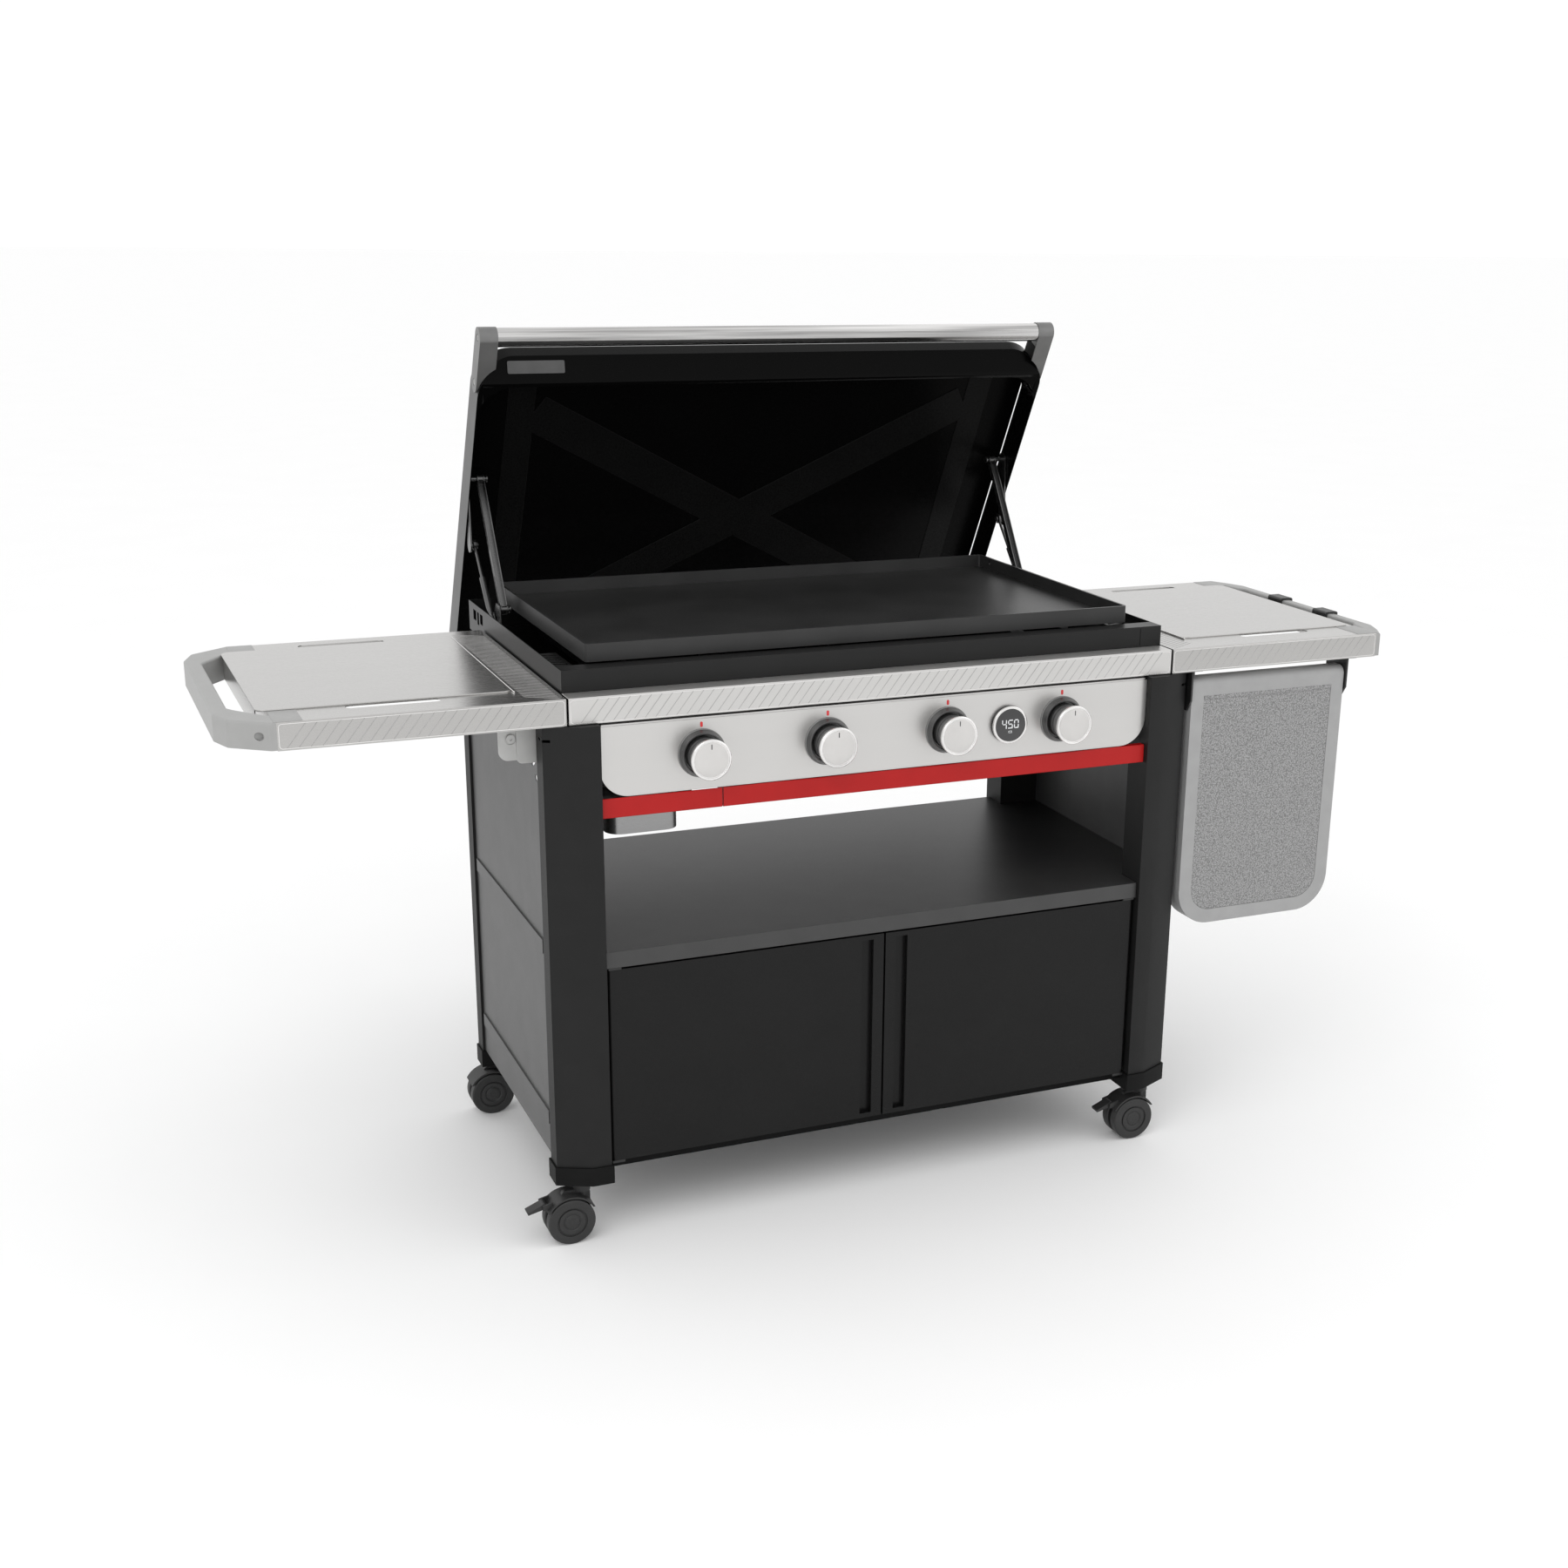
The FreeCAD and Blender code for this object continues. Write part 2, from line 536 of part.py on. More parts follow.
def tool_hook(y):
    """Clip that slides along the right handle with a peg for tongs and spatulas."""
    tip = HANDLE_TIP["right"]
    ring = box(tip - 22, tip + 4, y - 20, y + 20, TRIM_LOW - 3, TRIM_TOP + 4)
    ring = round_edges(ring, 4.0, "y")
    bore = box(tip - 18.5, tip + 0.5, y - 21, y + 21, TRIM_LOW + 0.5, TRIM_TOP + 0.5)
    ring = ring.cut(bore)
    peg = rod((tip + 3.5, y, 850), (tip + 16, y, 850), 3.0)
    ball = Part.makeSphere(5.0, V(tip + 17, y, 850))
    return fuse([ring, peg, ball])


# -------------------------------------------------------- folding panel

FOLD_X0, FOLD_X1, FOLD_Y0, FOLD_Y1 = 551.0, 853.0, 6.0, 46.0
FOLD_LOW, FOLD_TOP = 380.0, 812.0
FOLD_PIN = (26.0, 798.0)


def folding_frame():
    """Rim of the flap that hangs under the right table, rounded at its free end."""
    x0, x1 = FOLD_X0, FOLD_X1
    plate = box(x0, x1, FOLD_Y0, FOLD_Y1, FOLD_LOW, FOLD_TOP)
    plate = round_edges(plate, 62.0, "y", lambda m: m.z < FOLD_LOW + 1)
    plate = round_edges(plate, 14.0, "x", lambda m: m.z > FOLD_TOP - 1)
    mould = box(x0 + 24, x1 - 24, FOLD_Y0 - 1, FOLD_Y0 + 4, FOLD_LOW + 24, FOLD_TOP - 30)
    mould = round_edges(mould, 40.0, "y", lambda m: m.z < FOLD_LOW + 30)
    hollow = box(x0 + 14, x1 - 14, FOLD_Y0 + 8, FOLD_Y1 + 1, FOLD_LOW + 60, FOLD_TOP - 36)
    pins = rod((x0 - 5, FOLD_PIN[0], FOLD_PIN[1]), (x1 + 5, FOLD_PIN[0], FOLD_PIN[1]), 4.06)
    return cut(plate, [mould, hollow, pins])


def folding_insert():
    x0, x1 = FOLD_X0, FOLD_X1
    pad = box(x0 + 24.4, x1 - 24.4, FOLD_Y0 + 0.6, FOLD_Y0 + 4, FOLD_LOW + 24.4, FOLD_TOP - 30.4)
    return round_edges(pad, 39.6, "y", lambda m: m.z < FOLD_LOW + 30)


def folding_hinges():
    """Two pointed hinge plates under the table and the long pin between them."""
    out = []
    for x in (FOLD_X0 - 4.5, FOLD_X1 + 1.5):
        pts = [(x, 2, TRIM_LOW - 0.4), (x, 60, TRIM_LOW - 0.4), (x, 60, 778), (x, 40, 758),
               (x, 14, 758), (x, 2, 776)]
        plate = prism(pts, (3, 0, 0))
        flange = box(x, x + 25, 10, 60, TRIM_LOW - 3, TRIM_LOW - 0.4)
        out += [plate, flange]
    pin = rod((FOLD_X0 - 6, FOLD_PIN[0], FOLD_PIN[1]), (FOLD_X1 + 6, FOLD_PIN[0], FOLD_PIN[1]), 4.0)
    return fuse(out + [pin])


# ------------------------------------------------------------------ lid

def lid_shell():
    """Shallow pressed tray; its front is set back and undercut between the handle ends."""
    w, r = BOX_HALF, 60.0
    outer = box(-w, w, LID_FRONT, LID_BACK, LID_RIM, LID_TOP)
    outer = round_edges(outer, r, "z", lambda m: m.y < LID_FRONT + 1)
    outer = round_edges(outer, 18.0, "z", lambda m: m.y > LID_BACK - 1)
    top = [e for e in outer.Edges if e.BoundBox.ZMin > LID_TOP - 0.01]
    outer = outer.makeFillet(7.0, top)
    inner = box(-w + SHEET, w - SHEET, LID_FRONT + 40, LID_BACK - SHEET, LID_RIM - 1,
                LID_TOP - SHEET)
    inner = round_edges(inner, r, "z", lambda m: m.y < LID_FRONT + 50)
    inner = round_edges(inner, 16.5, "z", lambda m: m.y > LID_BACK - 5)
    shell = outer.cut(inner)
    # undercut front: slopes back from under the brow to the rim
    slope = [(-w - 1, LID_FRONT - 20, LID_RIM - 1), (-w - 1, LID_FRONT - 20, 927),
             (-w - 1, LID_FRONT - 1, 927), (-w - 1, LID_FRONT + 30, 905),
             (-w - 1, LID_FRONT + 35, LID_RIM - 1)]
    shell = shell.cut(prism(slope, (2 * w + 2, 0, 0)))
    hollow = [(-440, LID_FRONT + 2, 929.5), (-440, LID_FRONT + 2, 953),
              (-440, LID_FRONT + 38, 953), (-440, LID_FRONT + 38, 909)]
    shell = shell.cut(prism(hollow, (880, 0, 0)))
    return open_lid(group(lid_sheets(shell.removeSplitter())))


def lid_sheets(shell):
    """Part the lid into its welded sheets: sides, back, front, corner webs and top."""
    far, side, back, front = 600.0, BOX_HALF - 8.5, LID_BACK - 8.5, LID_FRONT + 40.0
    skin = LID_TOP - SHEET
    zones = [box(-far, -side, -far, 2 * far, 800, 1000), box(side, far, -far, 2 * far, 800, 1000),
             box(-side, side, back, 2 * far, 800, 1000), box(-side, side, -far, front, 800, 1000),
             box(-side, side, front, back, 800, skin), box(-side, side, front, back, skin, 1000)]
    return [shell.common(zone) for zone in zones]


def lid_brace():
    """Flat cross and two upright bands pressed to the inside of the lid."""
    z0, z1 = LID_TOP - SHEET - 1.2, LID_TOP - SHEET
    bands = []
    for s in (-1, 1):
        x0, x1 = sorted((s * 392, s * 438))
        bands.append(box(x0, x1, LID_FRONT + 56, LID_BACK - 12, z0, z1))
    y0, y1, half = 130.0, 600.0, 34.0
    for s in (-1, 1):
        a = V(s * -392, y0, z0)
        b = V(s * 392, y1, z0)
        d = (b - a).normalize()
        n = V(-d.y, d.x, 0) * half
        pts = [a + n, b + n, b - n, a - n]
        bands.append(prism([(p.x, p.y, p.z) for p in pts], (0, 0, z1 - z0)))
    body = fuse(bands)
    return open_lid(body.common(box(-440, 440, LID_FRONT + 56, LID_BACK - 12, z0, z1)))


def lid_handle():
    y, z = HANDLE_YZ
    tube = rod((-495, y, z), (495, y, z), HANDLE_R)
    return open_lid(cut(tube, [rod((-496, y, z), (496, y, z), HANDLE_R - 1.5)]))


def lid_handle_brackets():
    """Strap-like end pieces, round at both ends, that carry the tube."""
    y, z = HANDLE_YZ
    far, r = BRACKET_FAR_Y, 16.5
    out = []
    for s in (-1, 1):
        x0, x1 = sorted((s * 476.0, s * 505.0))
        block = fuse([rod((x0, y, z), (x1, y, z), r), rod((x0, far, z), (x1, far, z), r),
                      box(x0, x1, y, far, z - r, z + r)])
        socket = rod((s * 470, y, z), (s * 497, y, z), HANDLE_R + 0.05)
        hollow = box(*sorted((s * 475, s * 501)), y + 20, far + 20, z - r + 2, z + r - 2)
        lid_room = box(-506, 506, LID_FRONT - 2, far + 40, 890, 950)
        lid_room = lid_room.common(open_room())
        wells = []
        for cy in (y, far):
            wells.append(rod((s * 503, cy, z), (s * 506, cy, z), 5.5))
        out.append(cut(block, [socket, hollow, lid_room] + wells))
    return open_lid(group(out))


def open_room():
    """Space taken by the lid's rounded front corners."""
    half, front = BOX_HALF + 0.05, LID_FRONT - 0.05
    solid = box(-half, half, front, LID_BACK, LID_RIM - 30, LID_TOP)
    return round_edges(solid, 60.05, "z", lambda m: m.y < LID_FRONT + 1)


def lid_badge():
    """Blank raised name-plate shape, left plain."""
    top, low = (LID_FRONT - 1, 927.0), (LID_FRONT + 30, 905.0)
    length = math.hypot(low[0] - top[0], low[1] - top[1])
    plate = box(-455, -362, -2.0, 0.0, -length / 2 - 10, -length / 2 + 10)
    plate = round_edges(plate, 2.5, "y")
    tilt = math.degrees(math.atan2(low[0] - top[0], top[1] - low[1]))
    plate = swing(plate, (0, 0), tilt)
    plate.translate(V(0, top[0], top[1]))
    return open_lid(plate)


def lid_pivots():
    """Steel plates inside the lid's side walls with the two pins on each side."""
    ay, az = ARM_LID
    by, bz = STRUT_LID
    plate = fuse([rod((498, ay, az), (500.5, ay, az), 12), rod((498, by, bz), (500.5, by, bz), 12),
                  prism([(498, ay - 6, az - 10), (498, ay + 7, az + 9), (498, by + 9, bz + 9),
                         (498, by - 8, bz - 8)], (2.5, 0, 0))])
    feet = [rod((500.5, ay + 20, az - 6), (501.5, ay + 20, az - 6), 6),
            rod((500.5, ay - 2, az - 2), (501.5, ay - 2, az - 2), 6)]
    pin_a = rod((466.5, ay, az), (498, ay, az), 3.5)
    head_a = rod((464.5, ay, az), (466.6, ay, az), 6.0)
    pin_b = rod((488, by, bz), (498, by, bz), 3.0)
    head_b = rod((486.4, by, bz), (488.1, by, bz), 5.8)
    one = fuse([plate] + feet + [pin_a, head_a, pin_b, head_b])
    return open_lid(group([both_sides(one)]))


def linkage_bases():
    """Standing hinge plates on the cook box ledges, with pins for both links."""
    ay, az = ARM_BASE
    by, bz = STRUT_BASE
    plate = prism([(484, ay - 18, 853), (484, by + 20, 853), (484, by + 16, bz + 16),
                   (484, ay + 10, az + 10), (484, ay - 10, az + 8), (484, ay - 16, bz)], (2, 0, 0))
    foot = box(466, 486, ay - 18, by + 20, 851.4, 853.4)
    pin_a = rod((467, ay, az), (485, ay, az), 3.5)
    head_a = rod((465, ay, az), (467.1, ay, az), 6.0)
    pin_b = rod((485, by, bz), (497, by, bz), 3.5)
    head_b = rod((496.9, by, bz), (498.6, by, bz), 6.0)
    holes = [rod((480, ay - 8 + 11 * i, 862 + 6 * (i % 2)), (490, ay - 8 + 11 * i, 862 + 6 * (i % 2)), 2)
             for i in range(4)]
    one = cut(fuse([plate, foot, pin_a, head_a, pin_b, head_b]), holes)
    return group([both_sides(one)])


def lid_arm(side):
    """Channel-section arm from the base plate to the lid, drawn shut then swung open."""
    ay, az = ARM_BASE
    by, bz = ARM_LID
    length = math.hypot(by - ay, bz - az)
    x0, x1, h = 470.0, 482.0, 5.5
    bar = box(x0, x1, 0, length, -h, h)
    bar = bar.fuse([rod((x0, 0, 0), (x1, 0, 0), 8), rod((x0, length, 0), (x1, length, 0), 8)])
    channel = box(x0 + 1.6, x1 - 1.6, -20, length + 20, -h + 1.6, 20)
    bosses = [rod((x0, 0, 0), (x1, 0, 0), 5.8), rod((x0, length, 0), (x1, length, 0), 5.8)]
    bores = [rod((x0 - 1, 0, 0), (x1 + 1, 0, 0), 3.5 + RUN),
             rod((x0 - 1, length, 0), (x1 + 1, length, 0), 3.5 + RUN)]
    arm = bar.cut(channel).fuse(bosses).cut(bores).removeSplitter()
    angle = math.degrees(math.atan2(bz - az, by - ay))
    arm = swing(arm, (0, 0), angle)
    arm.translate(V(0, ay, az))
    return sided(swing(arm, ARM_BASE, -ARM_TURN), side)


def lid_strut(side):
    """Second link: thick sleeve below, thin rod above, with an eye at each end."""
    ay, az = STRUT_BASE
    by, bz = STRUT_LID
    length = math.hypot(by - ay, bz - az)
    x = 491.5
    sleeve = rod((x, 10, 0), (x, length * 0.58, 0), 4.8)
    stem = rod((x, length * 0.5, 0), (x, length - 6, 0), 2.6)
    eyes = [rod((488.5, 0, 0), (495.5, 0, 0), 8), rod((489.5, length, 0), (494.5, length, 0), 8.5)]
    bores = [rod((480, 0, 0), (500, 0, 0), 3.5 + RUN),
             rod((480, length, 0), (500, length, 0), 3.0 + PIVOT_SLOT)]
    neck = box(489.5, 493.5, 5, 14, -3.5, 3.5)
    strut = cut(fuse([sleeve, stem, neck] + eyes), bores)
    angle = math.degrees(math.atan2(bz - az, by - ay))
    strut = swing(strut, (0, 0), angle)
    strut.translate(V(0, ay, az))
    return sided(swing(strut, STRUT_BASE, -STRUT_TURN), side)


# ---------------------------------------------------------------- plate

def griddle_plate():
    """Thick tray with a shallow rim and a grease hole over the drawer."""
    w = PLATE_HALF
    outer = round_edges(box(-w, w, PLATE_FRONT, PLATE_BACK, PLATE_LOW, PLATE_TOP), 6.0, "z")
    inner = round_edges(box(-w + 4, w - 4, PLATE_FRONT + 4, PLATE_BACK - 4, PLATE_LOW + 6,
                            PLATE_TOP + 1), 4.0, "z")
    drain = round_plate(-390, 110, 40, 9, PLATE_LOW - 1, PLATE_LOW + 8, 8.5)
    peep = rod((w - 6, 560, 918), (w + 1, 560, 918), 3)
    return cut(outer, [inner, drain, peep])


# ---------------------------------------------------------------- doors



def door(side):
    """Flat door with a full-height grip channel and a bead beside the split."""
    x1, x0 = 456.5, 1.6
    slab = box(x0, x1, -3, 9.0, DOOR_LOW, DOOR_TOP)
    slab = round_edges(slab, 5.9, "z", lambda m: m.x > x1 - 1)
    hollow = box(x0 + 46, x1 - 20, -1.5, 10, DOOR_LOW + SHEET, DOOR_TOP - SHEET)
    grip = box(x0 + 18, x0 + 38, -4, 6.5, DOOR_LOW + 8, DOOR_TOP - 8)
    bores = [rod((DOOR_PIN_X, DOOR_PIN_Y, DOOR_LOW - 1), (DOOR_PIN_X, DOOR_PIN_Y, DOOR_LOW + 14),
                 2.56),
             rod((DOOR_PIN_X, DOOR_PIN_Y, DOOR_TOP - 14), (DOOR_PIN_X, DOOR_PIN_Y, DOOR_TOP + 1), 2.56)]
    nub = rod((DOOR_PIN_X, DOOR_PIN_Y, DOOR_LOW), (DOOR_PIN_X, DOOR_PIN_Y, DOOR_TOP), 6.5)
    edge = fuse([cut(slab, [hollow, grip]), nub.common(box(440, x1, 0, 12.5, DOOR_LOW, DOOR_TOP))])
    return sided(cut(edge, bores), side)


def door_hinges():
    """Pin brackets at the head and foot of each door."""
    out = []
    x, y = DOOR_PIN_X, DOOR_PIN_Y
    low = fuse([rod((x, y, DOOR_LOW - 3.5), (x, y, DOOR_LOW + 12), 2.5),
                box(x - 12, x + 8, y - 8, 10.5, DOOR_LOW - 4.5, DOOR_LOW - 0.5)])
    high = fuse([rod((x, y, DOOR_TOP - 12), (x, y, DOOR_TOP + 3), 2.5),
                 box(x - 12, x + 8, y - 11, 14, DOOR_TOP + 0.5, DOOR_TOP + 3.5)])
    for piece in (low, high):
        out.append(both_sides(piece))
    return group(out)


# -------------------------------------------------------------- casters

def caster_fork(side, end):
    """Stem, round cap and hood that carries the axle of a twin wheel."""
    s = 1 if side == "right" else -1
    x, y = s * CASTER_X, CASTER_Y[end]
    wx = x - WHEEL_TRAIL
    stem = rod((x, y, 70), (x, y, FOOT_LOW + 18), 6.0)
    cap = rod((x, y, 82), (x, y, FOOT_LOW - 0.6), 13)
    core = box(wx - 12, x + 12, y - 4, y + 4, 34, 84)
    core = round_edges(core, 8, "y")
    hood = rod((wx, y - 21, WHEEL_R), (wx, y + 21, WHEEL_R), WHEEL_R + 5)
    hood = hood.cut(rod((wx, y - 22, WHEEL_R), (wx, y + 22, WHEEL_R), WHEEL_R + 2))
    hood = hood.common(box(wx - 60, wx + 60, y - 21, y + 21, 58, 100))
    axle = rod((wx, y - 19, WHEEL_R), (wx, y + 19, WHEEL_R), 4.0)
    parts = [stem, cap, core, hood, axle]
    if end == "front":
        hx, hz = wx - 40.0, 66.0
        for y0 in (y - 14, y + 11):
            parts.append(prism([(hx - 4, y0, hz - 4), (hx - 4, y0, hz + 4), (wx - 27, y0, hz + 8),
                                (wx - 31, y0, hz - 4)], (0, 3, 0)))
        parts.append(rod((hx, y - 14, hz), (hx, y + 14, hz), 2.5))
    return fuse(parts)


def caster_wheel(side, end):
    """Pair of discs on one axle, one each side of the fork."""
    s = 1 if side == "right" else -1
    x, y = s * CASTER_X, CASTER_Y[end]
    wx = x - WHEEL_TRAIL
    discs = []
    for y0, y1 in ((y - 22, y - 4.6), (y + 4.6, y + 22)):
        disc = rod((wx, y0, WHEEL_R), (wx, y1, WHEEL_R), WHEEL_R)
        rims = [e for e in disc.Edges if e.Length > 200]
        disc = disc.makeFillet(3.0, rims)
        face = y0 if y0 < y - 10 else y1
        dish = rod((wx, face - 2.5, WHEEL_R), (wx, face + 2.5, WHEEL_R), 24)
        dish = dish.cut(rod((wx, face - 3, WHEEL_R), (wx, face + 3, WHEEL_R), 9))
        bore = rod((wx, y0 - 1, WHEEL_R), (wx, y1 + 1, WHEEL_R), 4.0 + RUN)
        discs.append(disc.cut([dish, bore]))
    return group(discs)


def brake_lever(side):
    """Foot lever hinged on the front caster's hood."""
    s = 1 if side == "right" else -1
    x, y = s * CASTER_X, CASTER_Y["front"]
    wx = x - WHEEL_TRAIL
    hub = (wx - 40.0, 66.0)
    pad = prism([(hub[0] - 1, y - 9.5, hub[1] - 4), (hub[0] - 26, y - 9.5, hub[1] - 10),
                 (hub[0] - 27, y - 9.5, hub[1] - 6), (hub[0] - 3, y - 9.5, hub[1] + 4)], (0, 19, 0))
    eye = rod((hub[0], y - 9.5, hub[1]), (hub[0], y + 9.5, hub[1]), 5.5)
    bore = rod((hub[0], y - 11, hub[1]), (hub[0], y + 11, hub[1]), 2.5 + RUN)
    return cut(fuse([pad, eye]), [bore])


def fasteners():
    """Screw heads seen on the outside: handle ends, side brackets."""
    heads = []
    y, z = HANDLE_YZ
    for s in (-1, 1):
        for cy in (y, BRACKET_FAR_Y):
            head = rod((s * 503, cy, z), (s * 504.6, cy, z), 4.6)
            drive = rod((s * 503.8, cy, z), (s * 506, cy, z), 1.8)
            heads.append(open_lid(head.cut(drive)))
    return group(heads)


def export(name, shape):
    moved = shape.copy()
    moved.translate(V(-MID_X, -MID_Y, 0))
    moved.exportStep("parts/" + name + ".step")
    solids = moved.Solids
    bad = [s for s in solids if not s.isValid() or s.Volume <= 0]
    print(name, len(solids), "solids", "BAD" if bad or not solids else "ok",
          [round(v, 1) for v in (moved.BoundBox.XMin, moved.BoundBox.XMax, moved.BoundBox.YMin,
                                 moved.BoundBox.YMax, moved.BoundBox.ZMin, moved.BoundBox.ZMax)])


def main():
    os.makedirs("parts", exist_ok=True)
    export("legs", legs())
    export("leg_feet", leg_feet())
    for side in ("left", "right"):
        export("table_" + side, table(side))
        export("table_handle_" + side, table_handle(side))
        export("lid_arm_" + side, lid_arm(side))
        export("lid_strut_" + side, lid_strut(side))
        export("door_" + side, door(side))
        export("brake_lever_" + side, brake_lever(side))
        for end in ("front", "rear"):
            export("caster_fork_" + end + "_" + side, caster_fork(side, end))
            export("caster_wheel_" + end + "_" + side, caster_wheel(side, end))
    for number, x in enumerate(KNOB_X, 1):
        export("knob_%d" % number, knob(x))
    export("tool_hook_front", tool_hook(188.0))
    export("tool_hook_rear", tool_hook(326.0))
    for make in (side_panels, middle_shelf, cabinet_floor, back_panel, cook_box, front_trim, control_panel,
                 knob_bezels, display_housing, display_lens, gas_manifold, gas_valves, burners,
                 grease_drawer, grease_pan, drawer_runners, lower_rail, table_plates,
                 table_brackets, folding_frame, folding_insert, folding_hinges, lid_shell,
                 lid_brace, lid_handle, lid_handle_brackets, lid_badge, lid_pivots,
                 linkage_bases, griddle_plate, door_hinges, fasteners):
        export(make.__name__, make())


if __name__ == "__main__":
    main()
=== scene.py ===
"""Looks of the flat-top griddle cart: finishes and fine pieces laid over its CAD frame."""

import json
import logging
import math
from collections.abc import Callable, Sequence
from dataclasses import dataclass, field
from enum import Enum

import bpy
from mathutils import Matrix, Vector

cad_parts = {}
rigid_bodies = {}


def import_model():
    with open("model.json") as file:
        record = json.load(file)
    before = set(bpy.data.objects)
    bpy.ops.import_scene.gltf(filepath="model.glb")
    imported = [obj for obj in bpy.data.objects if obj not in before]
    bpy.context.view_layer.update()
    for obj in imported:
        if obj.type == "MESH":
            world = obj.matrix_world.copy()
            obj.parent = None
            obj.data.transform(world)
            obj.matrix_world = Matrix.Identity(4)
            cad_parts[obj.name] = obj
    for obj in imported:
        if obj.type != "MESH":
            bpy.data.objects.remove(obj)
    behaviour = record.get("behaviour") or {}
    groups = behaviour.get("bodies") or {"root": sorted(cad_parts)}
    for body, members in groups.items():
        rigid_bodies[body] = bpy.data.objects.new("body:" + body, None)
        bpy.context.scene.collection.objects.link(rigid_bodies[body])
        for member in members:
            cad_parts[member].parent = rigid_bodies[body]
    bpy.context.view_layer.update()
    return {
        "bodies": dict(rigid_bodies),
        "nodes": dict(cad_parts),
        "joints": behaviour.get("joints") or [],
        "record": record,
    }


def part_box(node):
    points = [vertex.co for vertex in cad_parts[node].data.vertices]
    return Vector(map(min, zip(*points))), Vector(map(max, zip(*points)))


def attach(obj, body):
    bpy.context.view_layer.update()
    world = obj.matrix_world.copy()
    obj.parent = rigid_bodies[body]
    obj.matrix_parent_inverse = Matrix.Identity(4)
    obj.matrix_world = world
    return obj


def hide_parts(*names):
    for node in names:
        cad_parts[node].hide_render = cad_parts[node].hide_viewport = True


LOG = logging.getLogger("griddle_cart")
MM = 0.001
UM = 0.000001

# camera: bearing, height and roll in degrees, then its place in metres and its lens
VIEW_AZIMUTH, VIEW_ELEVATION, VIEW_ROLL = -24.1, 18.0, 1.0
CAMERA_PLACE = Vector((-1.2413, -3.1367, 1.5478))
CAMERA_LENS, CAMERA_SHIFT = 46.37, (-0.058, 0.048)


class Axis(Enum):
    """Direction along which a finish is brushed."""

    X = (0.02, 1.0, 1.0)
    NONE = (1.0, 1.0, 1.0)


# ------------------------------------------------------------------ finishes


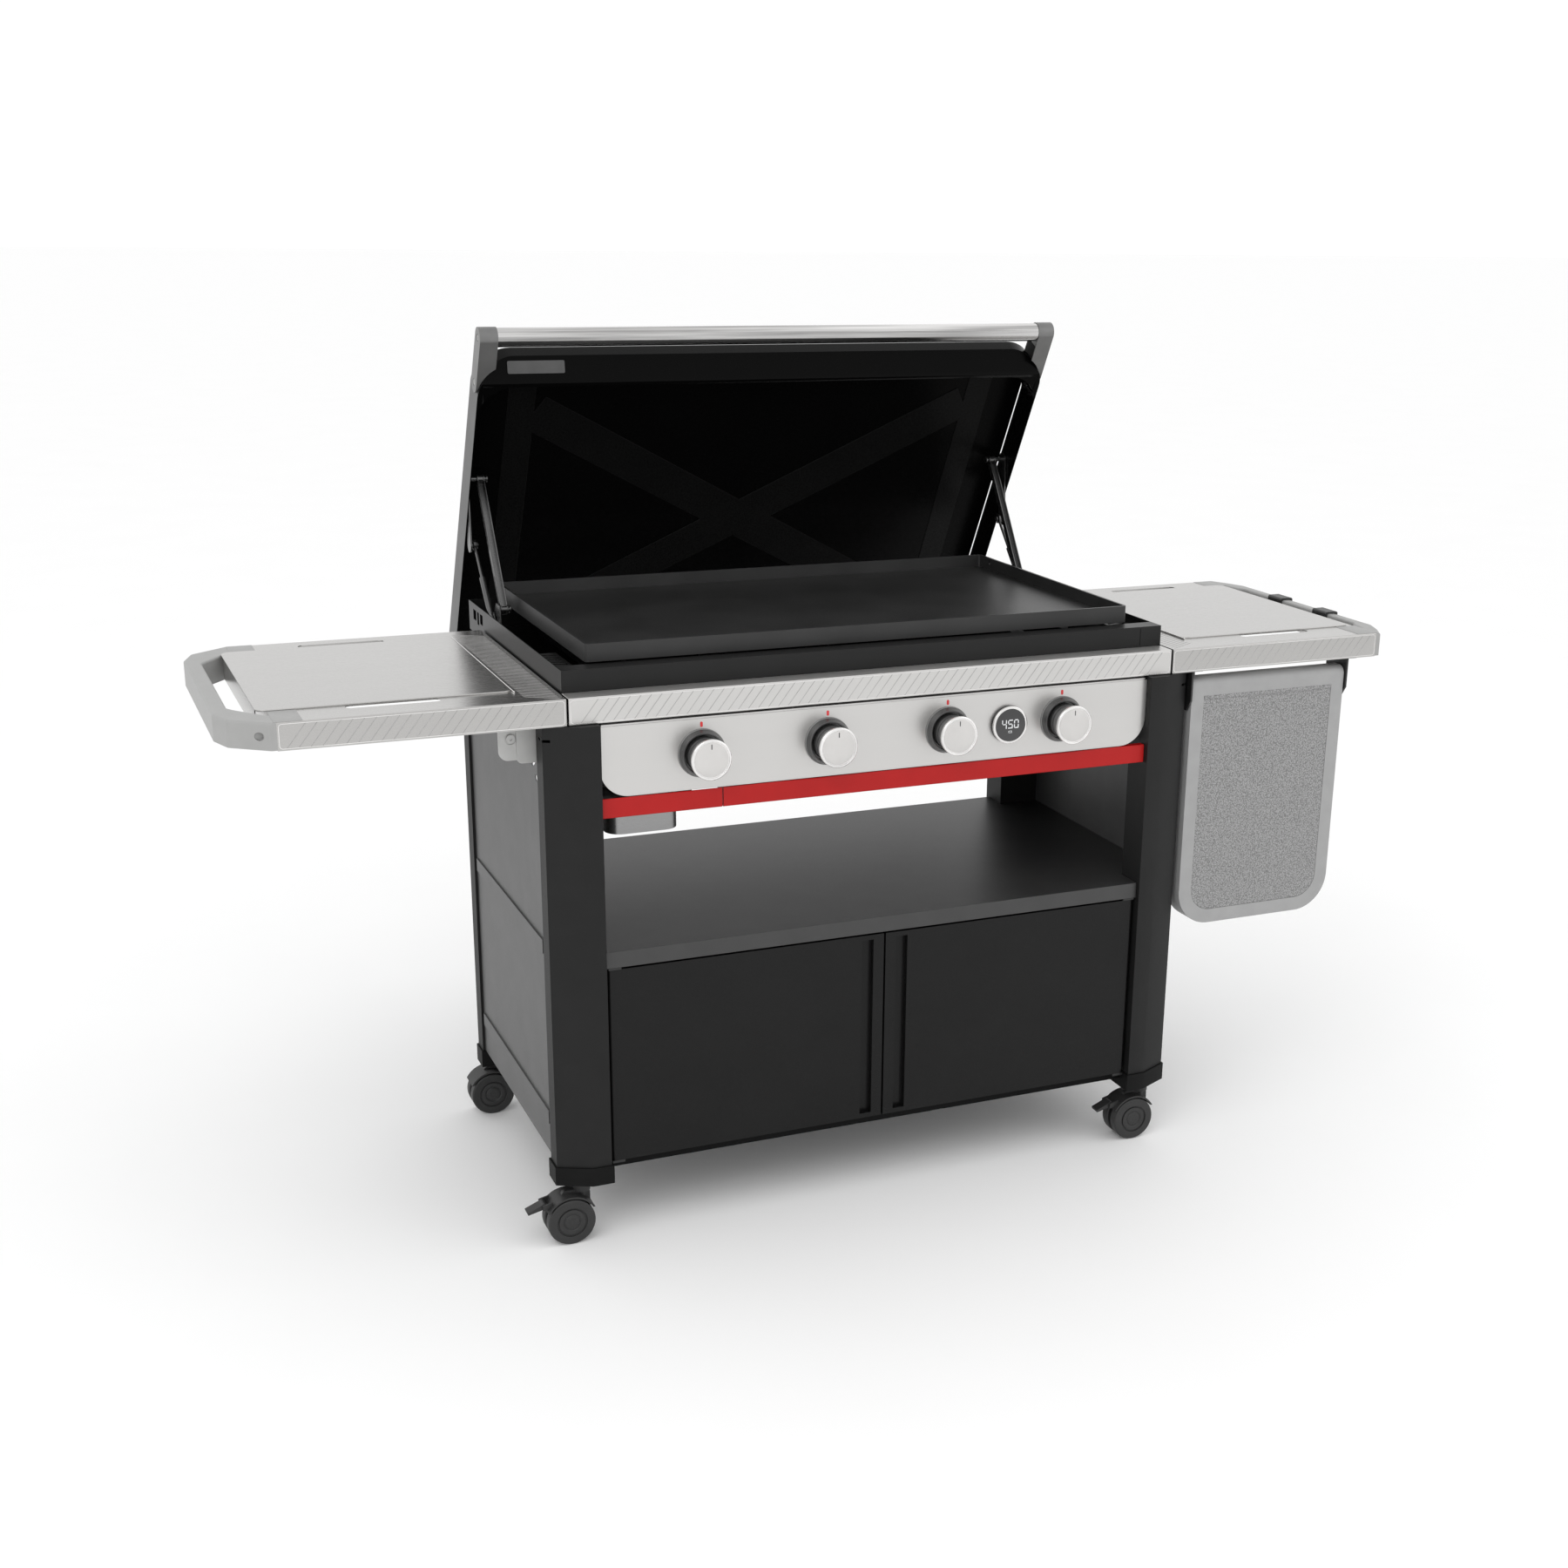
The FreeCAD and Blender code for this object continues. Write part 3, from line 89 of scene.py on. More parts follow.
@dataclass(frozen=True)
class Finish:
    """Painted or moulded surface with fine grain and slight unevenness of tone; on the chrome tube
    a strong unevenness paints reflections.

    Sizes of the grain are in grains per metre; bump is its depth in metres.
    """

    name: str
    colour: tuple[float, float, float]
    roughness: float = 0.5
    metallic: float = 0.0
    specular: float = 0.5
    grain: float = 900.0
    bump: float = 40 * UM
    mottle_and_painted_reflection: float = 0.12
    brushed: Axis = Axis.NONE
    coat: float = 0.0

    def material(self) -> bpy.types.Material:
        """Give this finish's material, building its nodes the first time.

        Returns:
            The shared material.
        """
        label = "finish_" + self.name
        known = bpy.data.materials.get(label)
        if known is not None:
            return known
        mat = bpy.data.materials.new(label)
        mat.use_nodes = True
        mat.diffuse_color = (*self.colour, 1.0)
        self.dress(mat.node_tree)
        return mat

    def dress(self, tree: bpy.types.NodeTree) -> None:
        """Wire the shader.

        Args:
            tree: Node tree of the new material.
        """
        shader = tree.nodes["Principled BSDF"]
        shader.inputs["Metallic"].default_value = self.metallic
        shader.inputs["Specular IOR Level"].default_value = self.specular
        shader.inputs["Coat Weight"].default_value = self.coat
        shader.inputs["Coat Roughness"].default_value = 0.08
        place = self.coordinates(tree)
        fine = self.noise(tree, place, self.grain, 3.0)
        # broad swing of tone: random unevenness, and on the chrome tube painted reflections
        broad = self.noise(tree, place, max(self.grain * 0.012, 3.0), 4.0)
        tone = self.ranged(tree, broad, 1.0 - self.mottle_and_painted_reflection, 1.0 + self.mottle_and_painted_reflection)
        colour = tree.nodes.new("ShaderNodeVectorMath")
        colour.operation = "SCALE"
        colour.inputs[0].default_value = self.colour
        tree.links.new(tone, colour.inputs["Scale"])
        tree.links.new(colour.outputs[0], shader.inputs["Base Color"])
        gloss = self.ranged(tree, fine, self.roughness * 0.85, min(self.roughness * 1.15, 1.0))
        tree.links.new(gloss, shader.inputs["Roughness"])
        self.relief(tree, fine, shader)

    def coordinates(self, tree: bpy.types.NodeTree) -> bpy.types.NodeSocket:
        """Object coordinates, drawn out along the brushing direction.

        Args:
            tree: Node tree to add to.

        Returns:
            The vector socket.
        """
        source = tree.nodes.new("ShaderNodeTexCoord")
        turn = tree.nodes.new("ShaderNodeMapping")
        turn.inputs["Scale"].default_value = self.brushed.value
        tree.links.new(source.outputs["Object"], turn.inputs["Vector"])
        return turn.outputs["Vector"]

    @staticmethod
    def noise(tree: bpy.types.NodeTree, place: bpy.types.NodeSocket, scale: float,
              detail: float) -> bpy.types.NodeSocket:
        """Noise of a given fineness.

        Args:
            tree: Node tree to add to.
            place: Coordinates it reads.
            scale: Features per metre.
            detail: Octaves.

        Returns:
            The factor socket.
        """
        node = tree.nodes.new("ShaderNodeTexNoise")
        node.inputs["Scale"].default_value = scale
        node.inputs["Detail"].default_value = detail
        tree.links.new(place, node.inputs["Vector"])
        return node.outputs["Fac"]

    @staticmethod
    def ranged(tree: bpy.types.NodeTree, value: bpy.types.NodeSocket, low: float, high: float,
               start: float = 0.3, end: float = 0.7) -> bpy.types.NodeSocket:
        """Stretch a factor between two values.

        Args:
            tree: Node tree to add to.
            value: Factor to stretch.
            low: Result at start.
            high: Result at end.
            start: Factor that gives low.
            end: Factor that gives high.

        Returns:
            The result socket.
        """
        node = tree.nodes.new("ShaderNodeMapRange")
        node.inputs["From Min"].default_value = start
        node.inputs["From Max"].default_value = end
        node.inputs["To Min"].default_value = low
        node.inputs["To Max"].default_value = high
        tree.links.new(value, node.inputs["Value"])
        return node.outputs["Result"]

    def relief(self, tree: bpy.types.NodeTree, height: bpy.types.NodeSocket,
               shader: bpy.types.Node) -> None:
        """Raise the surface by a factor.

        Args:
            tree: Node tree to add to.
            height: Factor that rises.
            shader: Shader whose normal it drives.
        """
        node = tree.nodes.new("ShaderNodeBump")
        node.inputs["Strength"].default_value = 0.6
        node.inputs["Distance"].default_value = self.bump
        tree.links.new(height, node.inputs["Height"])
        tree.links.new(node.outputs["Normal"], shader.inputs["Normal"])


@dataclass(frozen=True)
class Speckled(Finish):
    """Rough-cast board with pale and dark flecks pressed into it."""

    fleck: tuple[float, float, float] = (0.6, 0.6, 0.6)

    def dress(self, tree: bpy.types.NodeTree) -> None:
        """Wire the shader with flecks instead of broad mottling.

        Args:
            tree: Node tree of the new material.
        """
        shader = tree.nodes["Principled BSDF"]
        shader.inputs["Roughness"].default_value = self.roughness
        shader.inputs["Metallic"].default_value = self.metallic
        place = self.coordinates(tree)
        cells = tree.nodes.new("ShaderNodeTexVoronoi")
        cells.inputs["Scale"].default_value = self.grain
        tree.links.new(place, cells.inputs["Vector"])
        share = self.ranged(tree, cells.outputs["Distance"], 0.0, 1.0, 0.15, 0.75)
        mix = tree.nodes.new("ShaderNodeMix")
        mix.data_type = "RGBA"
        mix.inputs[6].default_value = (*self.fleck, 1.0)
        mix.inputs[7].default_value = (*self.colour, 1.0)
        tree.links.new(share, mix.inputs[0])
        tree.links.new(mix.outputs[2], shader.inputs["Base Color"])
        self.relief(tree, self.noise(tree, place, self.grain * 0.8, 2.0), shader)


STEEL = Finish("brushed_table_steel", (0.47, 0.463, 0.453), 0.25, 0.9, grain=2600, bump=0.6 * UM,
               mottle_and_painted_reflection=0.008, brushed=Axis.X)
SLOT_FINISHES: dict[str, Finish] = {
    "post_black": Finish("post_powder_coat", (0.009, 0.009, 0.009), 0.55, specular=0.25,
                         grain=1800),
    "foot_plastic": Finish("foot_plastic", (0.005, 0.005, 0.005), 0.55, specular=0.12, grain=2400),
    "panel_grey": Finish("side_powder_coat", (0.062, 0.062, 0.062), 0.45, specular=0.5, grain=1800),
    "shelf_satin": Finish("shelf_satin_coat", (0.030, 0.030, 0.030), 0.42, specular=0.6,
                          grain=1500),
    "box_black": Finish("cook_box_coat", (0.007, 0.007, 0.007), 0.38, specular=0.3, grain=1500),
    "trim_steel": Finish("trim_steel", (0.60, 0.592, 0.58), 0.36, 0.85, grain=2600, bump=1 * UM,
                         mottle_and_painted_reflection=0.01, brushed=Axis.X),
    "fascia_steel": Finish("fascia_steel", (0.60, 0.592, 0.58), 0.34, 0.85, grain=2600,
                           bump=1 * UM, mottle_and_painted_reflection=0.008, brushed=Axis.X),
    "bezel_dark": Finish("bezel_metal", (0.10, 0.10, 0.10), 0.3, 0.7, grain=1500, bump=20 * UM),
    "knob_black": Finish("knob_black", (0.02, 0.02, 0.02), 0.35, grain=2400, bump=10 * UM),
    "display_black": Finish("display_rim", (0.02, 0.02, 0.02), 0.28, grain=2400, bump=10 * UM),
    "display_glass": Finish("display_glass", (0.004, 0.004, 0.005), 0.08, grain=60, bump=2 * UM,
                            coat=1.0),
    "pipe_steel": Finish("pipe_steel", (0.35, 0.35, 0.34), 0.38, 0.9, grain=1300, bump=30 * UM),
    "valve_brass": Finish("valve_brass", (0.55, 0.38, 0.14), 0.32, 0.9, grain=1300, bump=30 * UM),
    "red_coat": Finish("red_powder_coat", (0.40, 0.008, 0.008), 0.45, specular=0.25, grain=1500,
                       bump=20 * UM, mottle_and_painted_reflection=0.05),
    "pan_steel": Finish("pan_steel", (0.30, 0.30, 0.30), 0.3, 0.95, grain=1600, bump=20 * UM,
                        brushed=Axis.X),
    "table_steel": STEEL,
    "grip_grey": Finish("grip_plastic", (0.33, 0.33, 0.325), 0.46, specular=0.45, grain=3000,
                        bump=20 * UM, mottle_and_painted_reflection=0.03),
    "hook_black": Finish("hook_plastic", (0.015, 0.015, 0.015), 0.4, grain=2400, bump=20 * UM),
    "flap_grey": Finish("flap_plastic", (0.33, 0.33, 0.33), 0.45, specular=0.4, grain=3000,
                        bump=20 * UM, mottle_and_painted_reflection=0.04),
    "flap_speckle": Speckled("flap_speckle", (0.16, 0.16, 0.16), 0.7, grain=420, bump=400 * UM,
                             fleck=(0.38, 0.38, 0.38)),
    "bracket_light": Finish("bracket_zinc_paint", (0.50, 0.50, 0.49), 0.45, 0.2, grain=1500,
                            bump=20 * UM),
    "hinge_black": Finish("hinge_black", (0.012, 0.012, 0.012), 0.4, grain=1800),
    "lid_enamel": Finish("lid_enamel", (0.0016, 0.0016, 0.0016), 0.25, specular=0.06, grain=700,
                         bump=10 * UM),
    # the chrome tube's strong broad mottle paints its reflections as light and dark patches
    "tube_chrome": Finish("tube_chrome", (0.50, 0.495, 0.49), 0.16, 1.0, grain=9000, bump=2 * UM,
                          mottle_and_painted_reflection=0.6, brushed=Axis.X),
    "end_satin": Finish("end_satin_zinc", (0.19, 0.19, 0.188), 0.4, 0.6, grain=2200, bump=10 * UM),
    "link_steel": Finish("link_steel", (0.13, 0.13, 0.13), 0.26, 0.95, grain=1500, bump=20 * UM),
    "plate_iron": Finish("seasoned_plate", (0.022, 0.022, 0.022), 0.4, specular=0.45, grain=900,
                         bump=50 * UM, mottle_and_painted_reflection=0.2),
    "door_gloss": Finish("door_gloss_coat", (0.005, 0.005, 0.005), 0.3, specular=0.2, grain=1200,
                         bump=12 * UM, coat=0.04),
    "caster_dark": Finish("caster_plastic", (0.024, 0.024, 0.024), 0.48, specular=0.4, grain=2400),
    "screw_zinc": Finish("screw_zinc", (0.45, 0.45, 0.44), 0.3, 0.9, grain=1800, bump=30 * UM),
}
# pale bright metal: real bright trim on the knob rings and the display rim, painted highlight on
# the fascia borders and the table plates' edges
BRIGHT_TRIM_AND_PAINTED_HIGHLIGHT = Finish("bright_trim_and_painted_highlight", (0.80, 0.79, 0.78), 0.2, 0.95, grain=1500, bump=10 * UM)
# ribs darker than the steel they are pressed in: painted shade along each raised rib
RIB_PAINTED_SHADE = Finish("rib_steel_painted_shade", (0.40, 0.396, 0.39), 0.4, 0.85, grain=2000, bump=10 * UM)
KNOB_FACE = Finish("knob_face", (0.62, 0.608, 0.595), 0.4, 0.55, grain=2600, bump=10 * UM,
                   mottle_and_painted_reflection=0.03)
KNOB_BODY = Finish("knob_body_metal", (0.16, 0.16, 0.16), 0.34, 0.75, grain=2600, bump=10 * UM)
MARK_RED = Finish("mark_red", (0.62, 0.03, 0.035), 0.4, grain=2400, bump=10 * UM)
DIGIT = Finish("lit_digit", (0.85, 0.87, 0.88), 0.5, grain=2400, bump=10 * UM)
# lighter copy of the lid enamel for the lid's X brace: painted sheen
LID_BRACE_PAINTED_SHEEN = Finish("lid_brace_enamel_painted_sheen", (0.0045, 0.0045, 0.0045), 0.28, specular=0.09, grain=700,
                   bump=10 * UM)
NODE_FINISHES: dict[str, Finish] = {
    "lid_brace": LID_BRACE_PAINTED_SHEEN,
    # near black and dull: painted shade on the floor inside the cabinet
    "cabinet_floor": Finish("cabinet_floor_painted_shade", (0.004, 0.004, 0.004), 0.6, specular=0.1,
                            grain=1800),
    "lid_badge": Finish("badge_metal", (0.09, 0.09, 0.09), 0.35, 0.8, grain=2200, bump=10 * UM),
}
LID_SIDE = Finish("lid_side_coat", (0.08, 0.08, 0.08), 0.42, 0.1, specular=0.4, grain=1600)


# ----------------------------------------------------------------- modelling


def activate(obj: bpy.types.Object) -> None:
    """Select one object alone and make it active.

    Args:
        obj: Object to work on.
    """
    bpy.ops.object.select_all(action="DESELECT")
    obj.select_set(True)
    bpy.context.view_layer.objects.active = obj


def edit(obj: bpy.types.Object, work: Callable[[], None]) -> bpy.types.Object:
    """Run some edit-mode work on the whole mesh.

    Args:
        obj: Object to edit.
        work: Calls edit-mode operators.

    Returns:
        The same object.
    """
    activate(obj)
    bpy.ops.object.mode_set(mode="EDIT")
    bpy.ops.mesh.select_all(action="SELECT")
    work()
    bpy.ops.mesh.select_all(action="SELECT")
    bpy.ops.mesh.normals_make_consistent(inside=False)
    bpy.ops.object.mode_set(mode="OBJECT")
    return obj


def named(name: str) -> bpy.types.Object:
    """Name the object that an operator has just added.

    Args:
        name: Name for it and its mesh.

    Returns:
        The object.
    """
    obj = bpy.context.active_object
    obj.name = name
    obj.data.name = name
    return obj


def bake(obj: bpy.types.Object, place: Matrix) -> bpy.types.Object:
    """Put an object at a place and apply that to its mesh.

    Args:
        obj: Object modelled round the origin.
        place: Where it goes.

    Returns:
        The same object.
    """
    activate(obj)
    obj.matrix_world = place
    bpy.ops.object.transform_apply(location=True, rotation=True, scale=True)
    return obj


def soften(obj: bpy.types.Object, width: float, segments: int = 2) -> bpy.types.Object:
    """Round the edges with an applied bevel and shade smooth.

    Args:
        obj: Object to soften.
        width: Bevel width in metres.
        segments: Steps round each edge.

    Returns:
        The same object.
    """
    activate(obj)
    bevel = obj.modifiers.new("soft_edges", "BEVEL")
    bevel.width = width
    bevel.segments = segments
    bevel.limit_method = "ANGLE"
    bevel.angle_limit = math.radians(35)
    bpy.ops.object.modifier_apply(modifier=bevel.name)
    bpy.ops.object.shade_smooth_by_angle(angle=math.radians(35))
    return obj


def twin(obj: bpy.types.Object, name: str, place: Matrix) -> bpy.types.Object:
    """Copy a piece with a mesh of its own.

    Args:
        obj: Piece to copy.
        name: Name of the copy.
        place: How the copy is moved.

    Returns:
        The copy.
    """
    activate(obj)
    bpy.ops.object.duplicate(linked=False)
    return bake(named(name), place)


def join(first: bpy.types.Object, rest: Sequence[bpy.types.Object]) -> bpy.types.Object:
    """Join pieces into the first.

    Args:
        first: Piece that stays.
        rest: Pieces taken into it.

    Returns:
        The joined piece.
    """
    activate(first)
    for obj in rest:
        obj.select_set(True)
    bpy.ops.object.join()
    return first


def repeat(obj: bpy.types.Object, count: int, step: tuple[float, float, float]) -> None:
    """Repeat a mesh in a straight row.

    Args:
        obj: Mesh to repeat.
        count: How many in all.
        step: From one to the next.
    """
    row = obj.modifiers.new("row", "ARRAY")
    row.count = count
    row.use_relative_offset = False
    row.use_constant_offset = True
    row.constant_offset_displace = step
    activate(obj)
    bpy.ops.object.modifier_apply(modifier=row.name)


def slab(name: str, low: Vector, high: Vector) -> bpy.types.Object:
    """Block between two corners.

    Args:
        name: Name of the piece.
        low: Lowest corner.
        high: Highest corner.

    Returns:
        The block.
    """
    bpy.ops.object.select_all(action="DESELECT")
    bpy.ops.mesh.primitive_cube_add(size=1.0)
    size = high - low
    place = Matrix.Translation((low + high) / 2) @ Matrix.Diagonal((*size, 1.0))
    return bake(named(name), place)


def plate(name: str, half: tuple[float, float], radius: float, thick: float,
          hollow: float = 0.0) -> bpy.types.Object:
    """Round-cornered plate in the XY plane, or the rim of one.

    Args:
        name: Name of the piece.
        half: Half width and half height.
        radius: Corner radius.
        thick: Height above the plane.
        hollow: Width of the rim; 0 keeps the plate whole.

    Returns:
        The plate.
    """
    bpy.ops.object.select_all(action="DESELECT")
    bpy.ops.mesh.primitive_plane_add(size=2.0)
    obj = bake(named(name), Matrix.Diagonal((half[0], half[1], 1.0, 1.0)))

    def work() -> None:
        """Round the corners, open the middle and raise it."""
        bpy.ops.mesh.bevel(offset=radius, segments=8, affect="VERTICES")
        if hollow:
            bpy.ops.mesh.inset(thickness=hollow)
            bpy.ops.mesh.delete(type="FACE")
            bpy.ops.mesh.select_all(action="SELECT")
        bpy.ops.mesh.extrude_region_move(TRANSFORM_OT_translate={"value": (0, 0, thick)})

    return edit(obj, work)


def turned(name: str, profile: Sequence[tuple[float, float]], sides: int = 72) -> bpy.types.Object:
    """Round piece about Z drawn out ring by ring from a circle.

    Args:
        name: Name of the piece.
        profile: Radius and height of each ring, from the back to the front.
        sides: Sides of the circle.

    Returns:
        The piece, closed at both ends.
    """
    first, start = profile[0]
    bpy.ops.object.select_all(action="DESELECT")
    bpy.ops.mesh.primitive_circle_add(vertices=sides, radius=first, fill_type="NGON",
                                      location=(0, 0, 0))
    obj = bake(named(name), Matrix.Translation((0, 0, start)))

    def work() -> None:
        """Draw the rings out one after another."""
        radius, height = first, start
        for next_radius, next_height in profile[1:]:
            bpy.ops.mesh.extrude_region_move(
                TRANSFORM_OT_translate={"value": (0, 0, next_height - height)})
            share = next_radius / radius
            bpy.ops.transform.resize(value=(share, share, 1),
                                     center_override=(0, 0, next_height))
            radius, height = next_radius, next_height

    return edit(obj, work)


FACING_FRONT = Matrix.Rotation(math.radians(90), 4, "X")


class Piece:
    """Shared ways of finishing a sub-assembly's pieces."""

    @staticmethod
    def dress(obj: bpy.types.Object, finish: Finish, body: str, slot: str) -> bpy.types.Object:
        """Give a piece its finish and its body, and report it.

        Args:
            obj: Finished mesh.
            finish: Its surface.
            body: CAD body it moves with.
            slot: Material slot of the record; not used.

        Returns:
            The same object.
        """
        obj.data.materials.clear()
        obj.data.materials.append(finish.material())
        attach(obj, body)
        LOG.info("%s: %d faces on %s", obj.name, len(obj.data.polygons), body)
        return obj


# -------------------------------------------------------------- sub-assemblies


@dataclass
class CadSurfaces:
    """Carries every CAD node over with softened edges and its own finish."""

    edge: float = 0.6 * MM
    crease: float = 32.0

    def build(self, frame: dict) -> None:
        """Dress all nodes by their material slots.
        """
        slots = {s["node"]: s["material_slot"] for s in frame["record"]["subparts"]}
        for name, obj in frame["nodes"].items():
            self.surface(obj, NODE_FINISHES.get(name, SLOT_FINISHES[slots[name]]))
            LOG.info("%s: %s", name, slots[name])
        self.grey_sides(frame["nodes"]["lid_shell"])

    def surface(self, obj: bpy.types.Object, finish: Finish) -> None:
        """Soften one node and give it one finish.

        Args:
            obj: CAD node.
            finish: Its surface.
        """
        obj.data.materials.clear()
        obj.data.materials.append(finish.material())
        weld = obj.modifiers.new("weld", "WELD")
        weld.merge_threshold = 0.01 * MM
        bevel = obj.modifiers.new("soft_edges", "BEVEL")
        bevel.width = self.edge
        bevel.segments = 2
        bevel.limit_method = "ANGLE"
        bevel.angle_limit = math.radians(self.crease)
        activate(obj)
        bpy.ops.object.shade_smooth()
        even = obj.modifiers.new("even_shading", "WEIGHTED_NORMAL")
        even.weight = 100

    def grey_sides(self, obj: bpy.types.Object) -> None:
        """Give the outer side faces of the lid their paler coat.

        Args:
            obj: The lid's shell.
        """
        obj.data.materials.append(LID_SIDE.material())
        low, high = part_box(obj.name)
        for face in obj.data.polygons:
            outer = min(face.center.x - low.x, high.x - face.center.x) < 0.5 * MM
            if outer and abs(face.normal.x) > 0.9:
                face.material_index = 1


@dataclass
class HatchedFascia(Piece):
    """Slanting ribs darker as painted shade inside a thin raised border pale as a painted
    highlight, on an upright front face.
    """

    node: str
    pitch: float = 16.0 * MM
    rib: float = 1.1 * MM
    rise: float = 0.25 * MM
    lean: float = 38.0
    margin: float = 3.2 * MM

    def build(self, body: str = "cart") -> None:
        """Lay the ribs and the border on the node's front.

        Args:
            body: CAD body of the node.
        """
        low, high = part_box(self.node)
        self.border(low, high, body)
        self.ribs(low, high, body)

    def border(self, low: Vector, high: Vector, body: str) -> None:
        """Add the thin border, pale as a painted highlight.

        Args:
            low: Lowest corner of the node.
            high: Highest corner of the node.
            body: CAD body of the node.
        """
        half = ((high.x - low.x) / 2 - 2 * MM, (high.z - low.z) / 2 - 2.2 * MM)
        rim = plate(self.node + "_border", half, 5 * MM, self.rise, hollow=0.8 * MM)
        middle = Vector(((low.x + high.x) / 2, low.y, (low.z + high.z) / 2))
        bake(rim, Matrix.Translation(middle) @ FACING_FRONT)
        self.dress(rim, BRIGHT_TRIM_AND_PAINTED_HIGHLIGHT, body, "trim_steel")

    def ribs(self, low: Vector, high: Vector, body: str) -> None:
        """Add one slanting rib, darker as painted shade, and repeat it along the face.

        Args:
            low: Lowest corner of the node.
            high: Highest corner of the node.
            body: CAD body of the node.
        """
        tall = high.z - low.z - 2 * self.margin
        reach = tall / 2 * math.tan(math.radians(self.lean))
        count = int((high.x - low.x - 2 * self.margin - 2 * reach) / self.pitch)
        start = (low.x + high.x) / 2 - (count - 1) / 2 * self.pitch
        rib = slab(self.node + "_ribs", Vector((-self.rib / 2, -self.rise, -tall)),
                   Vector((self.rib / 2, 0.5 * MM, tall)))
        bake(rib, Matrix.Rotation(math.radians(self.lean), 4, "Y"))

        def trim() -> None:
            """Cut the rib level at its head and foot."""
            for side in (1, -1):
                bpy.ops.mesh.select_all(action="SELECT")
                bpy.ops.mesh.bisect(plane_co=(0, 0, side * tall / 2), plane_no=(0, 0, side),
                                    use_fill=True, clear_outer=True)

        edit(rib, trim)
        soften(rib, 0.2 * MM, 1)
        bake(rib, Matrix.Translation((start, low.y, (low.z + high.z) / 2)))
        repeat(rib, count, (self.pitch, 0, 0))
        self.dress(rib, RIB_PAINTED_SHADE, body, "trim_steel")


@dataclass
class ControlKnob(Piece):
    """Burner knob: dark skirt, metal grip, bright ring and pale face with a pointer."""

    number: int
    body_share: float = 0.94
    ring_share: float = 1.06
    pointer_share: float = 0.68

    def build(self) -> None:
        """Model the knob over its CAD node and stand for it."""
        node = "knob_%d" % self.number
        low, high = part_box(node)
        front = low.y
        centre = Vector(((low.x + high.x) / 2, front, (low.z + high.z) / 2))
        place = Matrix.Translation(centre) @ FACING_FRONT
        f = (high.x - low.x) / 2 / self.ring_share
        r = f * self.body_share
        skirt = turned(node + "_skirt", [(5 * MM, low.y - high.y), (5 * MM, -40 * MM),
                                         (r, -39.5 * MM), (r, -27 * MM), (r * 0.93, -26 * MM),
                                         (r * 0.93, -23 * MM)])
        grip = turned(node + "_grip", [(r * 0.90, -24 * MM), (r * 0.985, -22 * MM),
                                       (r * 0.97, -9 * MM), (r * 0.86, -8 * MM),
                                       (r * 0.86, -4 * MM)])
        ring = turned(node + "_ring", [(f * 0.92, -6 * MM), (f * self.ring_share, -5 * MM),
                                       (f * self.ring_share, -1.0 * MM),
                                       (f * 1.02, -0.15 * MM),
                                       (f * 0.95, -0.15 * MM), (f * 0.94, -1.2 * MM),
                                       (f * 0.2, -1.2 * MM)])
        face = turned(node + "_face", [(f * 0.90, -3 * MM), (f * 0.90, -0.9 * MM),
                                       (f * 0.88, -0.5 * MM), (f * 0.2, -0.45 * MM)])
        pointer = plate(node + "_pointer", (0.8 * MM, 4.0 * MM), 0.75 * MM, 0.3 * MM)
        bake(pointer, Matrix.Translation((0, f * self.pointer_share, -0.55 * MM)))
        finishes = ((skirt, SLOT_FINISHES["knob_black"]), (grip, KNOB_BODY), (ring, BRIGHT_TRIM_AND_PAINTED_HIGHLIGHT),
                    (face, KNOB_FACE), (pointer, SLOT_FINISHES["bezel_dark"]))
        for piece, finish in finishes:
            soften(bake(piece, place), 0.25 * MM)
            self.dress(piece, finish, node, "knob_black")
        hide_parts(node)


@dataclass
class KnobSurround(Piece):
    """Red index mark and the raised band round one knob's bezel."""

    number: int
    mark_height: float = 43.5 * MM
    band_inner: float = 34.0 * MM
    band_outer: float = 37.2 * MM
    band_rise: float = 2.5 * MM

    def build(self) -> None:
        """Add the mark above the bezel and the band on it."""
        low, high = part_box("knob_%d" % self.number)
        panel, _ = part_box("control_panel")
        x, z = (low.x + high.x) / 2, (low.z + high.z) / 2
        mark = plate("index_mark_%d" % self.number, (1.9 * MM, 4.0 * MM), 1.8 * MM, 0.5 * MM)
        bake(mark, Matrix.Translation((x, panel.y, z + self.mark_height)) @ FACING_FRONT)
        self.dress(mark, MARK_RED, "cart", "red_coat")
        band = turned("bezel_band_%d" % self.number,
                      [(self.band_inner, 0.3 * MM), (self.band_outer, 0.3 * MM),
                       (self.band_outer, self.band_rise - 0.5 * MM),
                       (self.band_outer - 1.0 * MM, self.band_rise),
                       (self.band_inner, self.band_rise)])
        bake(band, Matrix.Translation((x, panel.y, z)) @ FACING_FRONT)
        soften(band, 0.2 * MM)
        self.dress(band, SLOT_FINISHES["end_satin"], "cart", "bezel_dark")


